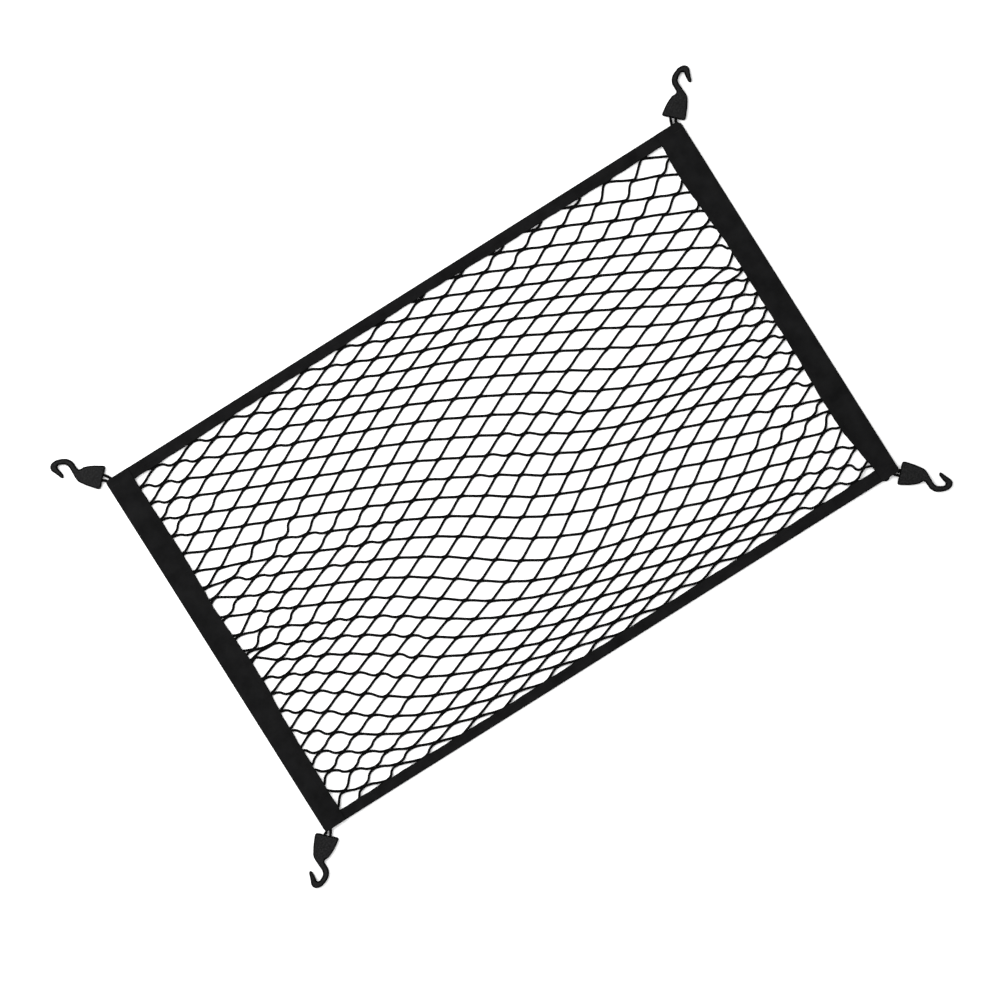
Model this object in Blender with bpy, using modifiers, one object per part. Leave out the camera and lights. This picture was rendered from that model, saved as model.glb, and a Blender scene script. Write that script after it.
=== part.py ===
"""Elastic cargo net: a bound diamond mesh that lies flat, with a moulded hook on a cord loop at each corner.

Metres, +Z up. The net lies on z = 0 with its long side along X. The middle of the part's box is at the
origin.
"""

import math
from collections import namedtuple

import bmesh
import bpy
from mathutils import Matrix, Vector
from mathutils.geometry import delaunay_2d_cdt

MM = 0.001
WELD = 1e-6

# The fill that leaves out the inside of each inner ring.
INSIDE_WITH_HOLES = 2

# Driving sizes in millimetres.
NET_LENGTH = 1000.0
NET_WIDTH = 610.0
GAP = 0.35

# Wide tape folded over each short end.
END_TAPE = 1.2
END_BAND_WIDTH = 38.0

# Narrow tape folded over each long side.
SIDE_TAPE = 1.0
SIDE_BAND_WIDTH = 17.0

# Diamond mesh: the real pitch, and the strand that is left standing between two meshes.
MESH_LONG = 65.4
MESH_SHORT = 28.16
STRAND = 3.5
NET_THICKNESS = 3.2
PINCHED = 2.0

# The gaps are cut at twice the real pitch, each over four meshes. Areas in square millimetres.
CUT_PITCH = 2
SMALLEST_GAP = 60.0
NARROWEST_GAP = 4.5

# Heights of the layers in a fold, from the surface up.
SIDE_BAND_THICKNESS = 2 * SIDE_TAPE + 2 * GAP + PINCHED
END_BAND_THICKNESS = 2 * END_TAPE + 2 * GAP + PINCHED
CORNER_THICKNESS = 2 * END_TAPE + 2 * GAP + SIDE_BAND_THICKNESS
SIDE_BAND_LIFT = END_TAPE + GAP

# Distances over which the layers rise.
LIFT_START = 388.0
LIFT_END = 450.0
POCKET_START = 200.0
POCKET_END = 248.0
RISE_FLAT = 12.0
RISE_RUN = 40.0

# Inner edges of the bands, and how far the gaps of the net reach in under them.
FIELD_X = NET_LENGTH / 2 - END_BAND_WIDTH
FIELD_Y = NET_WIDTH / 2 - SIDE_BAND_WIDTH
UNDER_END_BAND = 9.0
UNDER_SIDE_BAND = 4.5
LONGEST_SIDE = 36.0

# Where the side bands and the net stop short, to leave the corner pocket to the cord.
SIDE_BAND_END = 485.5
POCKET_X = 484.5
POCKET_Y = 284.0

# Cord loop: where its two legs cross the hook's base, from the base's middle, and their ways from
# inside the corner pocket to the hook, outward along X and Y from the middle of the net.
CORD = 4.5
CORD_STEP = 4.5
LEG_OUTER = -3.6
LEG_INNER = 6.4
OUTER_LEG = [(494.9, 287.0), (494.7, 299.0), (495.3, 304.4), (498.0, 308.0)]
INNER_LEG = [(489.1, 287.0), (489.0, 299.0), (490.4, 309.0)]

# Moulded hook, as thick as the bound corner so that its loop runs level.
HOOK_THICKNESS = CORNER_THICKNESS
HOOK_EDGE = 1.3
SOCKET_DEPTH = 12.6
SOCKET_ROOM = 0.7
SOCKET_WIDTH = 16.8
SOCKET_HEIGHT = 5.2

# Where the stretched mesh has slid out of its even lattice. Place in half meshes from the middle,
# along X and Y; the slide there in millimetres; how far it fades out, in half meshes.
Slide = namedtuple("Slide", "u v along_x along_y reach_u reach_v")
SLIDES = [
    Slide(0, -8, 0, -34, 6.0, 5.4),
    Slide(1, -16, 0, -16, 8.0, 5.5),
    Slide(7, 1, 0, -12, 7.0, 4.5),
    Slide(-2, 14, 0, 12, 8.0, 6.5),
    Slide(13, 10, 0, -20, 4.5, 6.0),
    Slide(-14, -8, 0, 10, 4.0, 4.5),
    Slide(-8, -15, 0, -14, 4.0, 5.0),
    Slide(8, -12, 0, -9, 3.5, 4.5),
    Slide(-10, -16, -27, 0, 6.0, 6.5),
    Slide(-2, -16, -10, 0, 4.5, 6.0),
    Slide(-7, -21, -9, 0, 4.0, 4.0),
    Slide(11, 13, 16, 0, 6.0, 8.0),
    Slide(3, 0, -11, 0, 4.5, 5.0),
    Slide(13, -1, 14, 0, 3.5, 5.0),
    Slide(11, -18, 12, 0, 5.0, 6.5),
    Slide(-3, -7, -11, 0, 5.0, 3.5),
    Slide(-14, 0, 8, 0, 3.0, 4.0),
    Slide(-7, 14, -4, 0, 6.0, 6.0),
]

# Unevenness of the bands' inner edges: the place along the band, and how far the edge is drawn
# in over the net there, in millimetres.
Pull = namedtuple("Pull", "along inward")
LEFT_PULLS = [Pull(270, 0.6), Pull(160, 2.0), Pull(110, 0.6), Pull(60, -1.4), Pull(10, 0.2), Pull(-35, 3.0),
              Pull(-80, 2.8), Pull(-130, -1.0), Pull(-180, -2.0), Pull(-280, -3.0)]
RIGHT_PULLS = [Pull(285, 4.0), Pull(240, 6.4), Pull(205, 5.4), Pull(175, 2.8), Pull(110, -0.4), Pull(10, 0.4),
               Pull(-80, 1.0), Pull(-155, 3.4), Pull(-210, 3.0), Pull(-245, -1.6), Pull(-285, -7.0)]
BACK_PULLS = [Pull(-440, 1.8), Pull(-300, 0.6), Pull(-130, 0.2), Pull(45, -0.4), Pull(185, 1.3),
              Pull(300, 1.4), Pull(380, 2.5), Pull(440, 1.5)]
FRONT_PULLS = [Pull(-440, 1.0), Pull(-400, -0.7), Pull(-200, -2.0), Pull(-20, -1.1), Pull(120, -0.3),
               Pull(260, 0.3), Pull(360, 1.4), Pull(440, 2.2)]

# The hook's outline for the corner at +X +Y, from the middle of its base, outward along X and Y.
# It starts at the base's outer corner and goes round by the nose, the throat and the shank.
HookPoint = namedtuple("HookPoint", "x y handle")
ROUND, STRAIGHT = "AUTO", "VECTOR"
HOOK_OUTLINE = [
    HookPoint(9.4, -9.6, STRAIGHT),
    HookPoint(12.6, -11.8, ROUND),
    HookPoint(15.8, -9.4, STRAIGHT),
    HookPoint(24.0, 0.8, STRAIGHT),
    HookPoint(31.6, 12.2, STRAIGHT),
    HookPoint(33.2, 18.0, STRAIGHT),
    HookPoint(33.2, 38.5, STRAIGHT),
    HookPoint(35.2, 44.6, ROUND),
    HookPoint(40.2, 48.2, ROUND),
    HookPoint(46.0, 50.0, ROUND),
    HookPoint(48.4, 47.2, ROUND),
    HookPoint(46.9, 33.4, STRAIGHT),
    HookPoint(49.2, 30.4, ROUND),
    HookPoint(51.8, 32.6, STRAIGHT),
    HookPoint(57.6, 47.0, ROUND),
    HookPoint(56.4, 55.2, ROUND),
    HookPoint(49.6, 58.2, ROUND),
    HookPoint(38.6, 56.2, ROUND),
    HookPoint(28.2, 49.6, ROUND),
    HookPoint(24.6, 42.0, STRAIGHT),
    HookPoint(24.6, 32.0, STRAIGHT),
    HookPoint(21.0, 28.2, STRAIGHT),
    HookPoint(14.8, 27.2, ROUND),
    HookPoint(-9.0, 14.6, STRAIGHT),
    HookPoint(-12.2, 11.6, ROUND),
    HookPoint(-9.8, 9.0, STRAIGHT),
]

# One row a corner: which way it faces along X and Y, the turn that brings the hook there, and where
# the middle of the hook's base lies.
Corner = namedtuple("Corner", "name side_x side_y turn_axis base_x base_y")
CORNERS = [
    Corner("back_right", 1, 1, None, 495.4, 312.4),
    Corner("back_left", -1, 1, "Y", 500.6, 312.2),
    Corner("front_right", 1, -1, "X", 499.2, 310.4),
    Corner("front_left", -1, -1, "Z", 501.8, 311.0),
]

# Directions on the hook: out along the body, and across it.
OUT = Vector((1, 1)).normalized()
ACROSS = Vector((-1, 1)).normalized()


def clear_scene():
    for thing in list(bpy.data.objects):
        bpy.data.objects.remove(thing)


def collection(name):
    made = bpy.data.collections.new(name)
    bpy.context.scene.collection.children.link(made)
    return made


def material(name, colour, roughness):
    made = bpy.data.materials.new(name)
    made.use_nodes = True
    shader = made.node_tree.nodes["Principled BSDF"]
    shader.inputs["Base Color"].default_value = (*colour, 1.0)
    shader.inputs["Roughness"].default_value = roughness
    shader.inputs["Metallic"].default_value = 0.0
    return made


def add_object(name, mesh, where, finish):
    made = bpy.data.objects.new(name, mesh)
    where.objects.link(made)
    made.data.materials.clear()
    made.data.materials.append(finish)
    return made


def mesh_of(source):
    """A plain welded mesh of what an object's curve and modifiers make, in place of the object."""
    graph = bpy.context.evaluated_depsgraph_get()
    made = bpy.data.meshes.new_from_object(source.evaluated_get(graph))
    made.transform(source.matrix_world)
    form = bmesh.new()
    form.from_mesh(made)
    bmesh.ops.remove_doubles(form, verts=form.verts, dist=WELD)
    bmesh.ops.recalc_face_normals(form, faces=form.faces)
    form.to_mesh(made)
    form.free()
    bpy.data.objects.remove(source)
    return made


def flat_outline(name, where, thickness):
    curve = bpy.data.curves.new(name, "CURVE")
    curve.dimensions = "2D"
    curve.fill_mode = "BOTH"
    curve.extrude = thickness * MM / 2
    made = bpy.data.objects.new(name, curve)
    where.objects.link(made)
    return made


def smooth(amount):
    """0 below 0, 1 above 1, and an even rise between them."""
    held = min(max(amount, 0.0), 1.0)
    return held * held * (3 - 2 * held)


def ramp(value, start, end):
    return min(max((value - start) / (end - start), 0.0), 1.0)


# --- Net ------------------------------------------------------------------------------------------


def knot(u, v):
    """Where the knot u half meshes along X and v half meshes along Y lies in the slack net."""
    place = Vector((u * MESH_LONG / 2, v * MESH_SHORT / 2))
    for slide in SLIDES:
        away = ((u - slide.u) / slide.reach_u) ** 2 + ((v - slide.v) / slide.reach_v) ** 2
        place += Vector((slide.along_x, slide.along_y)) * math.exp(-away)
    return place


def inset(points, distance):
    """The outline moved in by a distance, for points that run anticlockwise."""
    moved = []
    for index, here in enumerate(points):
        before = (here - points[index - 1]).normalized()
        after = (points[(index + 1) % len(points)] - here).normalized()
        inward = (Vector((-before.y, before.x)) + Vector((-after.y, after.x))).normalized()
        spread = inward.dot(Vector((-after.y, after.x)))
        moved.append(here + inward * distance / spread)
    return moved


def clipped(points, axis, side, limit):
    """The part of an outline on the inner side of a straight limit."""
    kept = []
    for index, here in enumerate(points):
        before = points[index - 1]
        here_out, before_out = side * here[axis] - limit, side * before[axis] - limit
        if (here_out > 0) != (before_out > 0):
            kept.append(before.lerp(here, before_out / (before_out - here_out)))
        if here_out <= 0:
            kept.append(here)
    return kept


def divided(points):
    """The outline with its long sides cut into shorter ones, so that the sheet can bend along them."""
    outline = []
    for here, after in zip(points, points[1:] + points[:1]):
        steps = math.ceil((after - here).length / LONGEST_SIDE)
        outline += [here.lerp(after, step / steps) for step in range(steps)]
    return outline


def area(points):
    pairs = zip(points, points[1:] + points[:1])
    return sum(a.x * b.y - b.x * a.y for a, b in pairs) / 2


def mesh_gaps():
    """The gaps of the net, each the inside of one diamond, cut back where the bands cover it."""
    gaps = []
    columns = math.ceil(FIELD_X / (MESH_LONG / 2 * CUT_PITCH)) + 1
    rows = math.ceil(FIELD_Y / (MESH_SHORT / 2 * CUT_PITCH)) + 1
    diamond = [(-2, 0), (-1, -1), (0, -2), (1, -1), (2, 0), (1, 1), (0, 2), (-1, 1)]
    for column in range(-columns, columns + 1):
        for row in range(-rows, rows + 1):
            if (column + row) % 2:
                continue
            middle_u, middle_v = column * CUT_PITCH + 1, row * CUT_PITCH
            outline = inset([knot(middle_u + u, middle_v + v) for u, v in diamond], STRAND / 2)
            for axis, limit in ((0, FIELD_X + UNDER_END_BAND), (1, FIELD_Y + UNDER_SIDE_BAND)):
                for side in (-1, 1):
                    outline = clipped(outline, axis, side, limit) if outline else outline
            if len(outline) < 3 or area(outline) < SMALLEST_GAP:
                continue
            spans = [max(p[axis] for p in outline) - min(p[axis] for p in outline) for axis in (0, 1)]
            if min(spans) > NARROWEST_GAP:
                gaps.append(outline)
    return gaps


def rim_outline():
    """The net's own cut edge inside the folds, with a step at each corner for the cord's pocket."""
    edge_x = NET_LENGTH / 2 - CORNER_THICKNESS / 2
    edge_y = NET_WIDTH / 2 - SIDE_BAND_THICKNESS / 2
    corners = [(POCKET_X, edge_y), (-POCKET_X, edge_y), (-POCKET_X, POCKET_Y), (-edge_x, POCKET_Y),
               (-edge_x, -POCKET_Y), (-POCKET_X, -POCKET_Y), (-POCKET_X, -edge_y), (POCKET_X, -edge_y),
               (POCKET_X, -POCKET_Y), (edge_x, -POCKET_Y), (edge_x, POCKET_Y), (POCKET_X, POCKET_Y)]
    return [Vector(corner) for corner in corners]


def side_band_rise(along):
    """How far a side band is lifted off the surface, towards the end band that it is tucked into."""
    return SIDE_BAND_LIFT * ramp(abs(along), LIFT_START, LIFT_END)


def net_layer(x, y):
    """The heights of the net's lower and upper face: flat on the surface, and up into the folds."""
    near_side = smooth(1 - (FIELD_Y - RISE_FLAT - abs(y)) / RISE_RUN)
    near_end = smooth(1 - (FIELD_X - RISE_FLAT - abs(x)) / RISE_RUN)
    in_side_band = SIDE_TAPE + GAP + side_band_rise(x)
    in_end_band = END_TAPE + GAP
    lower = max(near_side * in_side_band, near_end * in_end_band)
    thickness = NET_THICKNESS + (PINCHED - NET_THICKNESS) * max(near_side, near_end)
    return lower, lower + thickness


def filled(outline, gaps):
    """A flat sheet of well shaped triangles inside an outline, cut through at each gap."""
    points = [place * MM for ring in (outline, *gaps) for place in ring]
    rings, start = [], 0
    for ring in (outline, *gaps):
        rings.append(list(range(start, start + len(ring))))
        start += len(ring)
    spots, _, faces, *_ = delaunay_2d_cdt(points, [], rings, INSIDE_WITH_HOLES, WELD / 10)
    form = bmesh.new()
    corners = [form.verts.new((*spot, 0.0)) for spot in spots]
    for face in faces:
        form.faces.new([corners[index] for index in face])
    return form


def build_net(where, finish):
    form = filled(divided(rim_outline()), [divided(gap) for gap in mesh_gaps()])
    raised = bmesh.ops.extrude_face_region(form, geom=form.faces[:])
    upper_spots = {spot for spot in raised["geom"] if isinstance(spot, bmesh.types.BMVert)}
    for spot in form.verts:
        lower, upper = net_layer(spot.co.x / MM, spot.co.y / MM)
        spot.co.z = (upper if spot in upper_spots else lower) * MM
    bmesh.ops.recalc_face_normals(form, faces=form.faces)
    mesh = bpy.data.meshes.new("net_panel")
    form.to_mesh(mesh)
    form.free()
    add_object("net_panel", mesh, where, finish)


# --- Bands ----------------------------------------------------------------------------------------


def fold_profile(width, thickness):
    """Across a folded tape's outer face: the lower layer, round the fold, and back on top.

    Each point is the distance in from the fold's outer edge, and the height.
    """
    bend = thickness / 2
    turn = [math.pi * step / 6 for step in range(7)]
    round_fold = [(bend - bend * math.sin(angle), bend - bend * math.cos(angle)) for angle in turn]
    return [(width, 0.0), *round_fold, (width, thickness)]


def pulled(pulls, along):
    """The band's unevenness at one place: straight between the rows of its table."""
    rows = sorted(pulls)
    if along <= rows[0].along:
        return rows[0].inward
    for before, after in zip(rows, rows[1:]):
        if along <= after.along:
            share = (along - before.along) / (after.along - before.along)
            return before.inward + share * (after.inward - before.inward)
    return rows[-1].inward


def build_band(name, stations, width, pulls, tape, raise_by, thickness_at, lay, where, finish):
    """A tape folded along its length over the net's edge.

    stations are the places along the band, thickness_at gives the fold's whole thickness there, and
    lay turns a place along, the distance in from the net's edge and a height into X, Y and Z.
    """
    form = bmesh.new()
    profiles = [fold_profile(width + pulled(pulls, along), thickness_at(along)) for along in stations]
    bmesh.ops.create_grid(form, x_segments=len(profiles[0]) - 1, y_segments=len(stations) - 1)
    form.verts.ensure_lookup_table()
    for row, (along, profile) in enumerate(zip(stations, profiles)):
        for column, (inward, height) in enumerate(profile):
            spot = form.verts[row * len(profile) + column]
            spot.co = Vector(lay(along, inward, height + raise_by(along))) * MM
    bmesh.ops.recalc_face_normals(form, faces=form.faces)
    fold_faces = [face for face in form.faces if face.calc_center_median().z < tape * MM / 2]
    if fold_faces[0].normal.z > 0:
        bmesh.ops.reverse_faces(form, faces=form.faces)
    mesh = bpy.data.meshes.new(name)
    form.to_mesh(mesh)
    form.free()
    band = add_object(name, mesh, where, finish)
    shell = band.modifiers.new("tape", "SOLIDIFY")
    shell.thickness = tape * MM
    shell.offset = -1
    shell.use_even_offset = True
    shell.use_rim = True
    return band


def places_along(half_length, pulls, breaks):
    """The ends of a band, the rows of its table and the places where its layers start to rise."""
    breaks = [side * place for place in breaks for side in (-1, 1)]
    return sorted({-half_length, half_length, *breaks, *(row.along for row in pulls)})


def build_bands(where, finish):
    half_length, half_width = NET_LENGTH / 2, NET_WIDTH / 2
    for name, side, pulls in (("front", -1, FRONT_PULLS), ("back", 1, BACK_PULLS)):
        build_band(
            f"side_band_{name}", places_along(SIDE_BAND_END, pulls, (LIFT_START, LIFT_END)),
            SIDE_BAND_WIDTH, pulls, SIDE_TAPE, side_band_rise, lambda along: SIDE_BAND_THICKNESS,
            lambda along, inward, height, side=side: (along, side * (half_width - inward), height),
            where, finish,
        )
    for name, side, pulls in (("left", -1, LEFT_PULLS), ("right", 1, RIGHT_PULLS)):
        build_band(
            f"end_band_{name}", places_along(half_width, pulls, (POCKET_START, POCKET_END)),
            END_BAND_WIDTH, pulls, END_TAPE, lambda along: 0.0, end_band_thickness,
            lambda along, inward, height, side=side: (side * (half_length - inward), along, height),
            where, finish,
        )


def end_band_thickness(along):
    """An end band opens towards its ends, where the side bands are tucked in."""
    opened = ramp(abs(along), POCKET_START, POCKET_END)
    return END_BAND_THICKNESS + (CORNER_THICKNESS - END_BAND_THICKNESS) * opened


# --- Corners --------------------------------------------------------------------------------------


def hook_form(where, cutters):
    """The moulded hook for the corner at +X +Y, level about its own middle, with the loop's socket."""
    blank = flat_outline("hook_outline", where, HOOK_THICKNESS)
    spline = blank.data.splines.new("BEZIER")
    blank.data.resolution_u = 2
    spline.bezier_points.add(len(HOOK_OUTLINE) - 1)
    for spot, row in zip(spline.bezier_points, HOOK_OUTLINE):
        spot.co = (row.x * MM, row.y * MM, 0)
        spot.handle_left_type = spot.handle_right_type = row.handle
    spline.use_cyclic_u = True
    body = bpy.data.objects.new("hook_body", mesh_of(blank))
    where.objects.link(body)
    edges = body.modifiers.new("rounded edges", "BEVEL")
    edges.width = HOOK_EDGE * MM
    edges.segments = 2
    edges.limit_method = "ANGLE"
    edges.angle_limit = math.radians(60)

    bpy.ops.mesh.primitive_cube_add(size=1)
    socket = bpy.context.active_object
    socket.name = "socket"
    for held in list(socket.users_collection):
        held.objects.unlink(socket)
    cutters.objects.link(socket)
    socket.hide_render = True
    socket.display_type = "WIRE"
    place = OUT * (SOCKET_DEPTH / 2 - HOOK_EDGE) + ACROSS * (LEG_OUTER + LEG_INNER) / 2
    size = (SOCKET_DEPTH + 2 * HOOK_EDGE, SOCKET_WIDTH, SOCKET_HEIGHT)
    socket.matrix_world = (
        Matrix.Translation(Vector((*place, 0)) * MM)
        @ Matrix.Rotation(math.radians(45), 4, "Z")
        @ Matrix.Diagonal((*(side * MM for side in size), 1))
    )
    cut = body.modifiers.new("socket", "BOOLEAN")
    cut.operation = "DIFFERENCE"
    cut.object = socket
    bpy.context.view_layer.update()
    form = mesh_of(body)
    bpy.data.objects.remove(socket)
    return form


def build_hooks(where, cutters, finish):
    form = hook_form(where, cutters)
    for corner in CORNERS:
        hook = add_object(f"hook_{corner.name}", form, where, finish)
        place = Vector((corner.side_x * corner.base_x, corner.side_y * corner.base_y, HOOK_THICKNESS / 2))
        hook.location = place * MM
        if corner.turn_axis:
            setattr(hook.rotation_euler, corner.turn_axis.lower(), math.pi)
    form.shade_smooth()
    form.set_sharp_from_angle(angle=math.radians(40))


def loop_route(corner):
    """The cord's way in and out of the hook: out of the band's end, round in the socket and back.

    The points are for the corner at +X +Y, outward along X and Y.
    """
    base = Vector((corner.base_x, corner.base_y))
    middle, reach = (LEG_INNER + LEG_OUTER) / 2, (LEG_INNER - LEG_OUTER) / 2
    straight = SOCKET_DEPTH - SOCKET_ROOM - CORD / 2 - reach
    turn = [math.pi * step / 4 for step in range(5)]
    bend = [
        base + ACROSS * (middle - reach * math.cos(angle)) + OUT * (straight + reach * math.sin(angle))
        for angle in turn
    ]
    outer_leg = [Vector(place) for place in OUTER_LEG]
    inner_leg = [Vector(place) for place in reversed(INNER_LEG)]
    outer_mouth, inner_mouth = (base + ACROSS * leg - OUT for leg in (LEG_OUTER, LEG_INNER))
    return [*outer_leg, outer_mouth, *bend, inner_mouth, *inner_leg]


def smooth_run(points, step):
    """Places about one step apart on the smooth curve through the given points."""
    padded = [2 * points[0] - points[1], *points, 2 * points[-1] - points[-2]]
    places = []
    for index in range(1, len(padded) - 2):
        before, here, after, beyond = padded[index - 1:index + 3]
        parts = max(1, round((after - here).length / step))
        for part in range(parts):
            t = part / parts
            places.append(
                0.5 * (2 * here + (after - before) * t
                       + (2 * before - 5 * here + 4 * after - beyond) * t ** 2
                       + (3 * here - before - 3 * after + beyond) * t ** 3)
            )
    return [*places, points[-1]]


def build_loops(where, finish):
    for corner in CORNERS:
        route = smooth_run(loop_route(corner), CORD_STEP)
        curve = bpy.data.curves.new(f"loop_{corner.name}", "CURVE")
        curve.dimensions = "3D"
        curve.bevel_depth = CORD / 2 * MM
        curve.bevel_resolution = 2
        curve.use_fill_caps = True
        spline = curve.splines.new("POLY")
        spline.points.add(len(route) - 1)
        for spot, place in zip(spline.points, route):
            level = Vector((corner.side_x * place.x, corner.side_y * place.y, HOOK_THICKNESS / 2))
            spot.co = (*(level * MM), 1)
        loop = bpy.data.objects.new(f"loop_{corner.name}", curve)
        where.objects.link(loop)
        curve.materials.append(finish)


def stand_on_middle(where):
    """Bring the middle of the part's box to the origin: the hooks are not pulled out evenly."""
    bpy.context.view_layer.update()
    graph = bpy.context.evaluated_depsgraph_get()
    corners = [
        piece.matrix_world @ Vector(corner)
        for piece in where.objects for corner in piece.evaluated_get(graph).bound_box
    ]
    low, high = (Vector(reach(spot[axis] for spot in corners) for axis in (0, 1)) for reach in (min, max))
    middle = bpy.data.objects.new("middle of the net", None)
    where.objects.link(middle)
    for piece in where.objects:
        if piece is not middle:
            piece.parent = middle
    middle.location = (*((low + high) / -2), 0)


def build():
    clear_scene()
    where = collection("cargo net")
    cutters = collection("cutters")
    build_net(where, material("net strand", (0.012, 0.012, 0.013), 0.75))
    build_bands(where, material("webbing", (0.011, 0.011, 0.012), 0.85))
    build_hooks(where, cutters, material("moulded plastic", (0.018, 0.018, 0.019), 0.5))
    build_loops(where, material("elastic cord", (0.012, 0.012, 0.013), 0.7))
    stand_on_middle(where)


build()
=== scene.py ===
"""Looks of the elastic cargo net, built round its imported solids.

The net lies flat on z = 0: a diamond mesh of knitted elastic cord, bound with folded black tape,
with a moulded hook on a braided cord loop at each corner. Sizes are in millimetres until a mesh is
finished, and then in metres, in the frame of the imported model.
"""

from __future__ import annotations

import logging
import math
from contextlib import contextmanager
from dataclasses import dataclass
from enum import Enum
from functools import cache
from typing import Any, ClassVar, Iterator, NamedTuple, Optional, Sequence

import bmesh
import bpy
import numpy as np
from mathutils import Matrix, Vector

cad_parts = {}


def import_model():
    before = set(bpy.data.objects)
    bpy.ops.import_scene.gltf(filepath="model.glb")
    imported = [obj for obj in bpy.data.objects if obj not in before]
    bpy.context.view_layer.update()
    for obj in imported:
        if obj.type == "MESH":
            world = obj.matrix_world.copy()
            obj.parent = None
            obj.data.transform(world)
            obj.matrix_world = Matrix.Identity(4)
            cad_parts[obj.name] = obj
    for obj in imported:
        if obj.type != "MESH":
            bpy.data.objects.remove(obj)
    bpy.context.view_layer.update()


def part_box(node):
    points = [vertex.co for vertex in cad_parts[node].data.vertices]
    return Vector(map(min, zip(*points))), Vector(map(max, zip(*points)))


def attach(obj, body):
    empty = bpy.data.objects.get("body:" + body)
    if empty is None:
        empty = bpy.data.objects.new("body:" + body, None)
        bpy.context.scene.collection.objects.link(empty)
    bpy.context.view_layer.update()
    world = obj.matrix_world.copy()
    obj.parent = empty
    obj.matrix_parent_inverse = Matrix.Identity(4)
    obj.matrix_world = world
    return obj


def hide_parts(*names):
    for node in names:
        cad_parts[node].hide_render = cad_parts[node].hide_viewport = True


LOG = logging.getLogger("cargo_net")

Rgb = tuple[float, float, float]

MM = 0.001
TURN = 2 * math.pi
BODY = "root"
COURSE = "course"
TAPE_UV = "tape"

# Points closer than this, in metres, are one point.
MERGED = 1e-6

# Bound net, outside sizes.
NET_LENGTH = 1000.0
NET_WIDTH = 610.0
GAP = 0.35
PINCHED = 2.0
NET_THICKNESS = 3.2

# Tapes and the heights that their folds make.
END_TAPE = 1.2
END_BAND_WIDTH = 38.0
SIDE_TAPE = 1.0
SIDE_BAND_WIDTH = 17.0
SIDE_BAND_THICKNESS = 2 * SIDE_TAPE + 2 * GAP + PINCHED
END_BAND_THICKNESS = 2 * END_TAPE + 2 * GAP + PINCHED
CORNER_THICKNESS = 2 * END_TAPE + 2 * GAP + SIDE_BAND_THICKNESS
SIDE_BAND_LIFT = END_TAPE + GAP
LIFT_START, LIFT_END = 388.0, 450.0
POCKET_START, POCKET_END = 200.0, 248.0
SIDE_BAND_END = 485.5
RISE_FLAT, RISE_RUN = 12.0, 40.0
FIELD_X = NET_LENGTH / 2 - END_BAND_WIDTH
FIELD_Y = NET_WIDTH / 2 - SIDE_BAND_WIDTH
SEAM_END = 4.0

# The socket in a hook's base, and the two legs of the cord in it, across from the base's middle.
SOCKET_DEPTH = 12.6
LEG_OUTER, LEG_INNER = -3.4, 4.6

# The reach, in half meshes, of what moves a single knot.
ONE_KNOT = 0.9


class Slide(NamedTuple):
    """Where the mesh has slid: half meshes, millimetres, and its reach in half meshes."""

    u: float
    v: float
    along_x: float
    along_y: float
    reach_u: float = ONE_KNOT
    reach_v: float = ONE_KNOT


class Slack(NamedTuple):
    """Where the mesh has cord to spare: half meshes, share of a bar, reach in half meshes."""

    u: float
    v: float
    spare: float
    reach_u: float
    reach_v: float


class Pull(NamedTuple):
    """How far a band's inner edge is drawn in over the net at one place, in millimetres."""

    along: float
    inward: float


class Nick(NamedTuple):
    """Where a band's folded edge is drawn in, or below zero stands out, in millimetres."""

    along: float
    reach: float
    inward: float


class HookPoint(NamedTuple):
    """A point of the hook's outline from the middle of its base, and whether it is a corner."""

    x: float
    y: float
    sharp: bool = True


class Corner(NamedTuple):
    """A corner: its side along X and Y, its hook's turn and base, and where its cord leaves."""

    name: str
    side_x: int
    side_y: int
    turn_axis: Optional[str]
    base_x: float
    base_y: float
    outer_exit: float
    inner_exit: float


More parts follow.
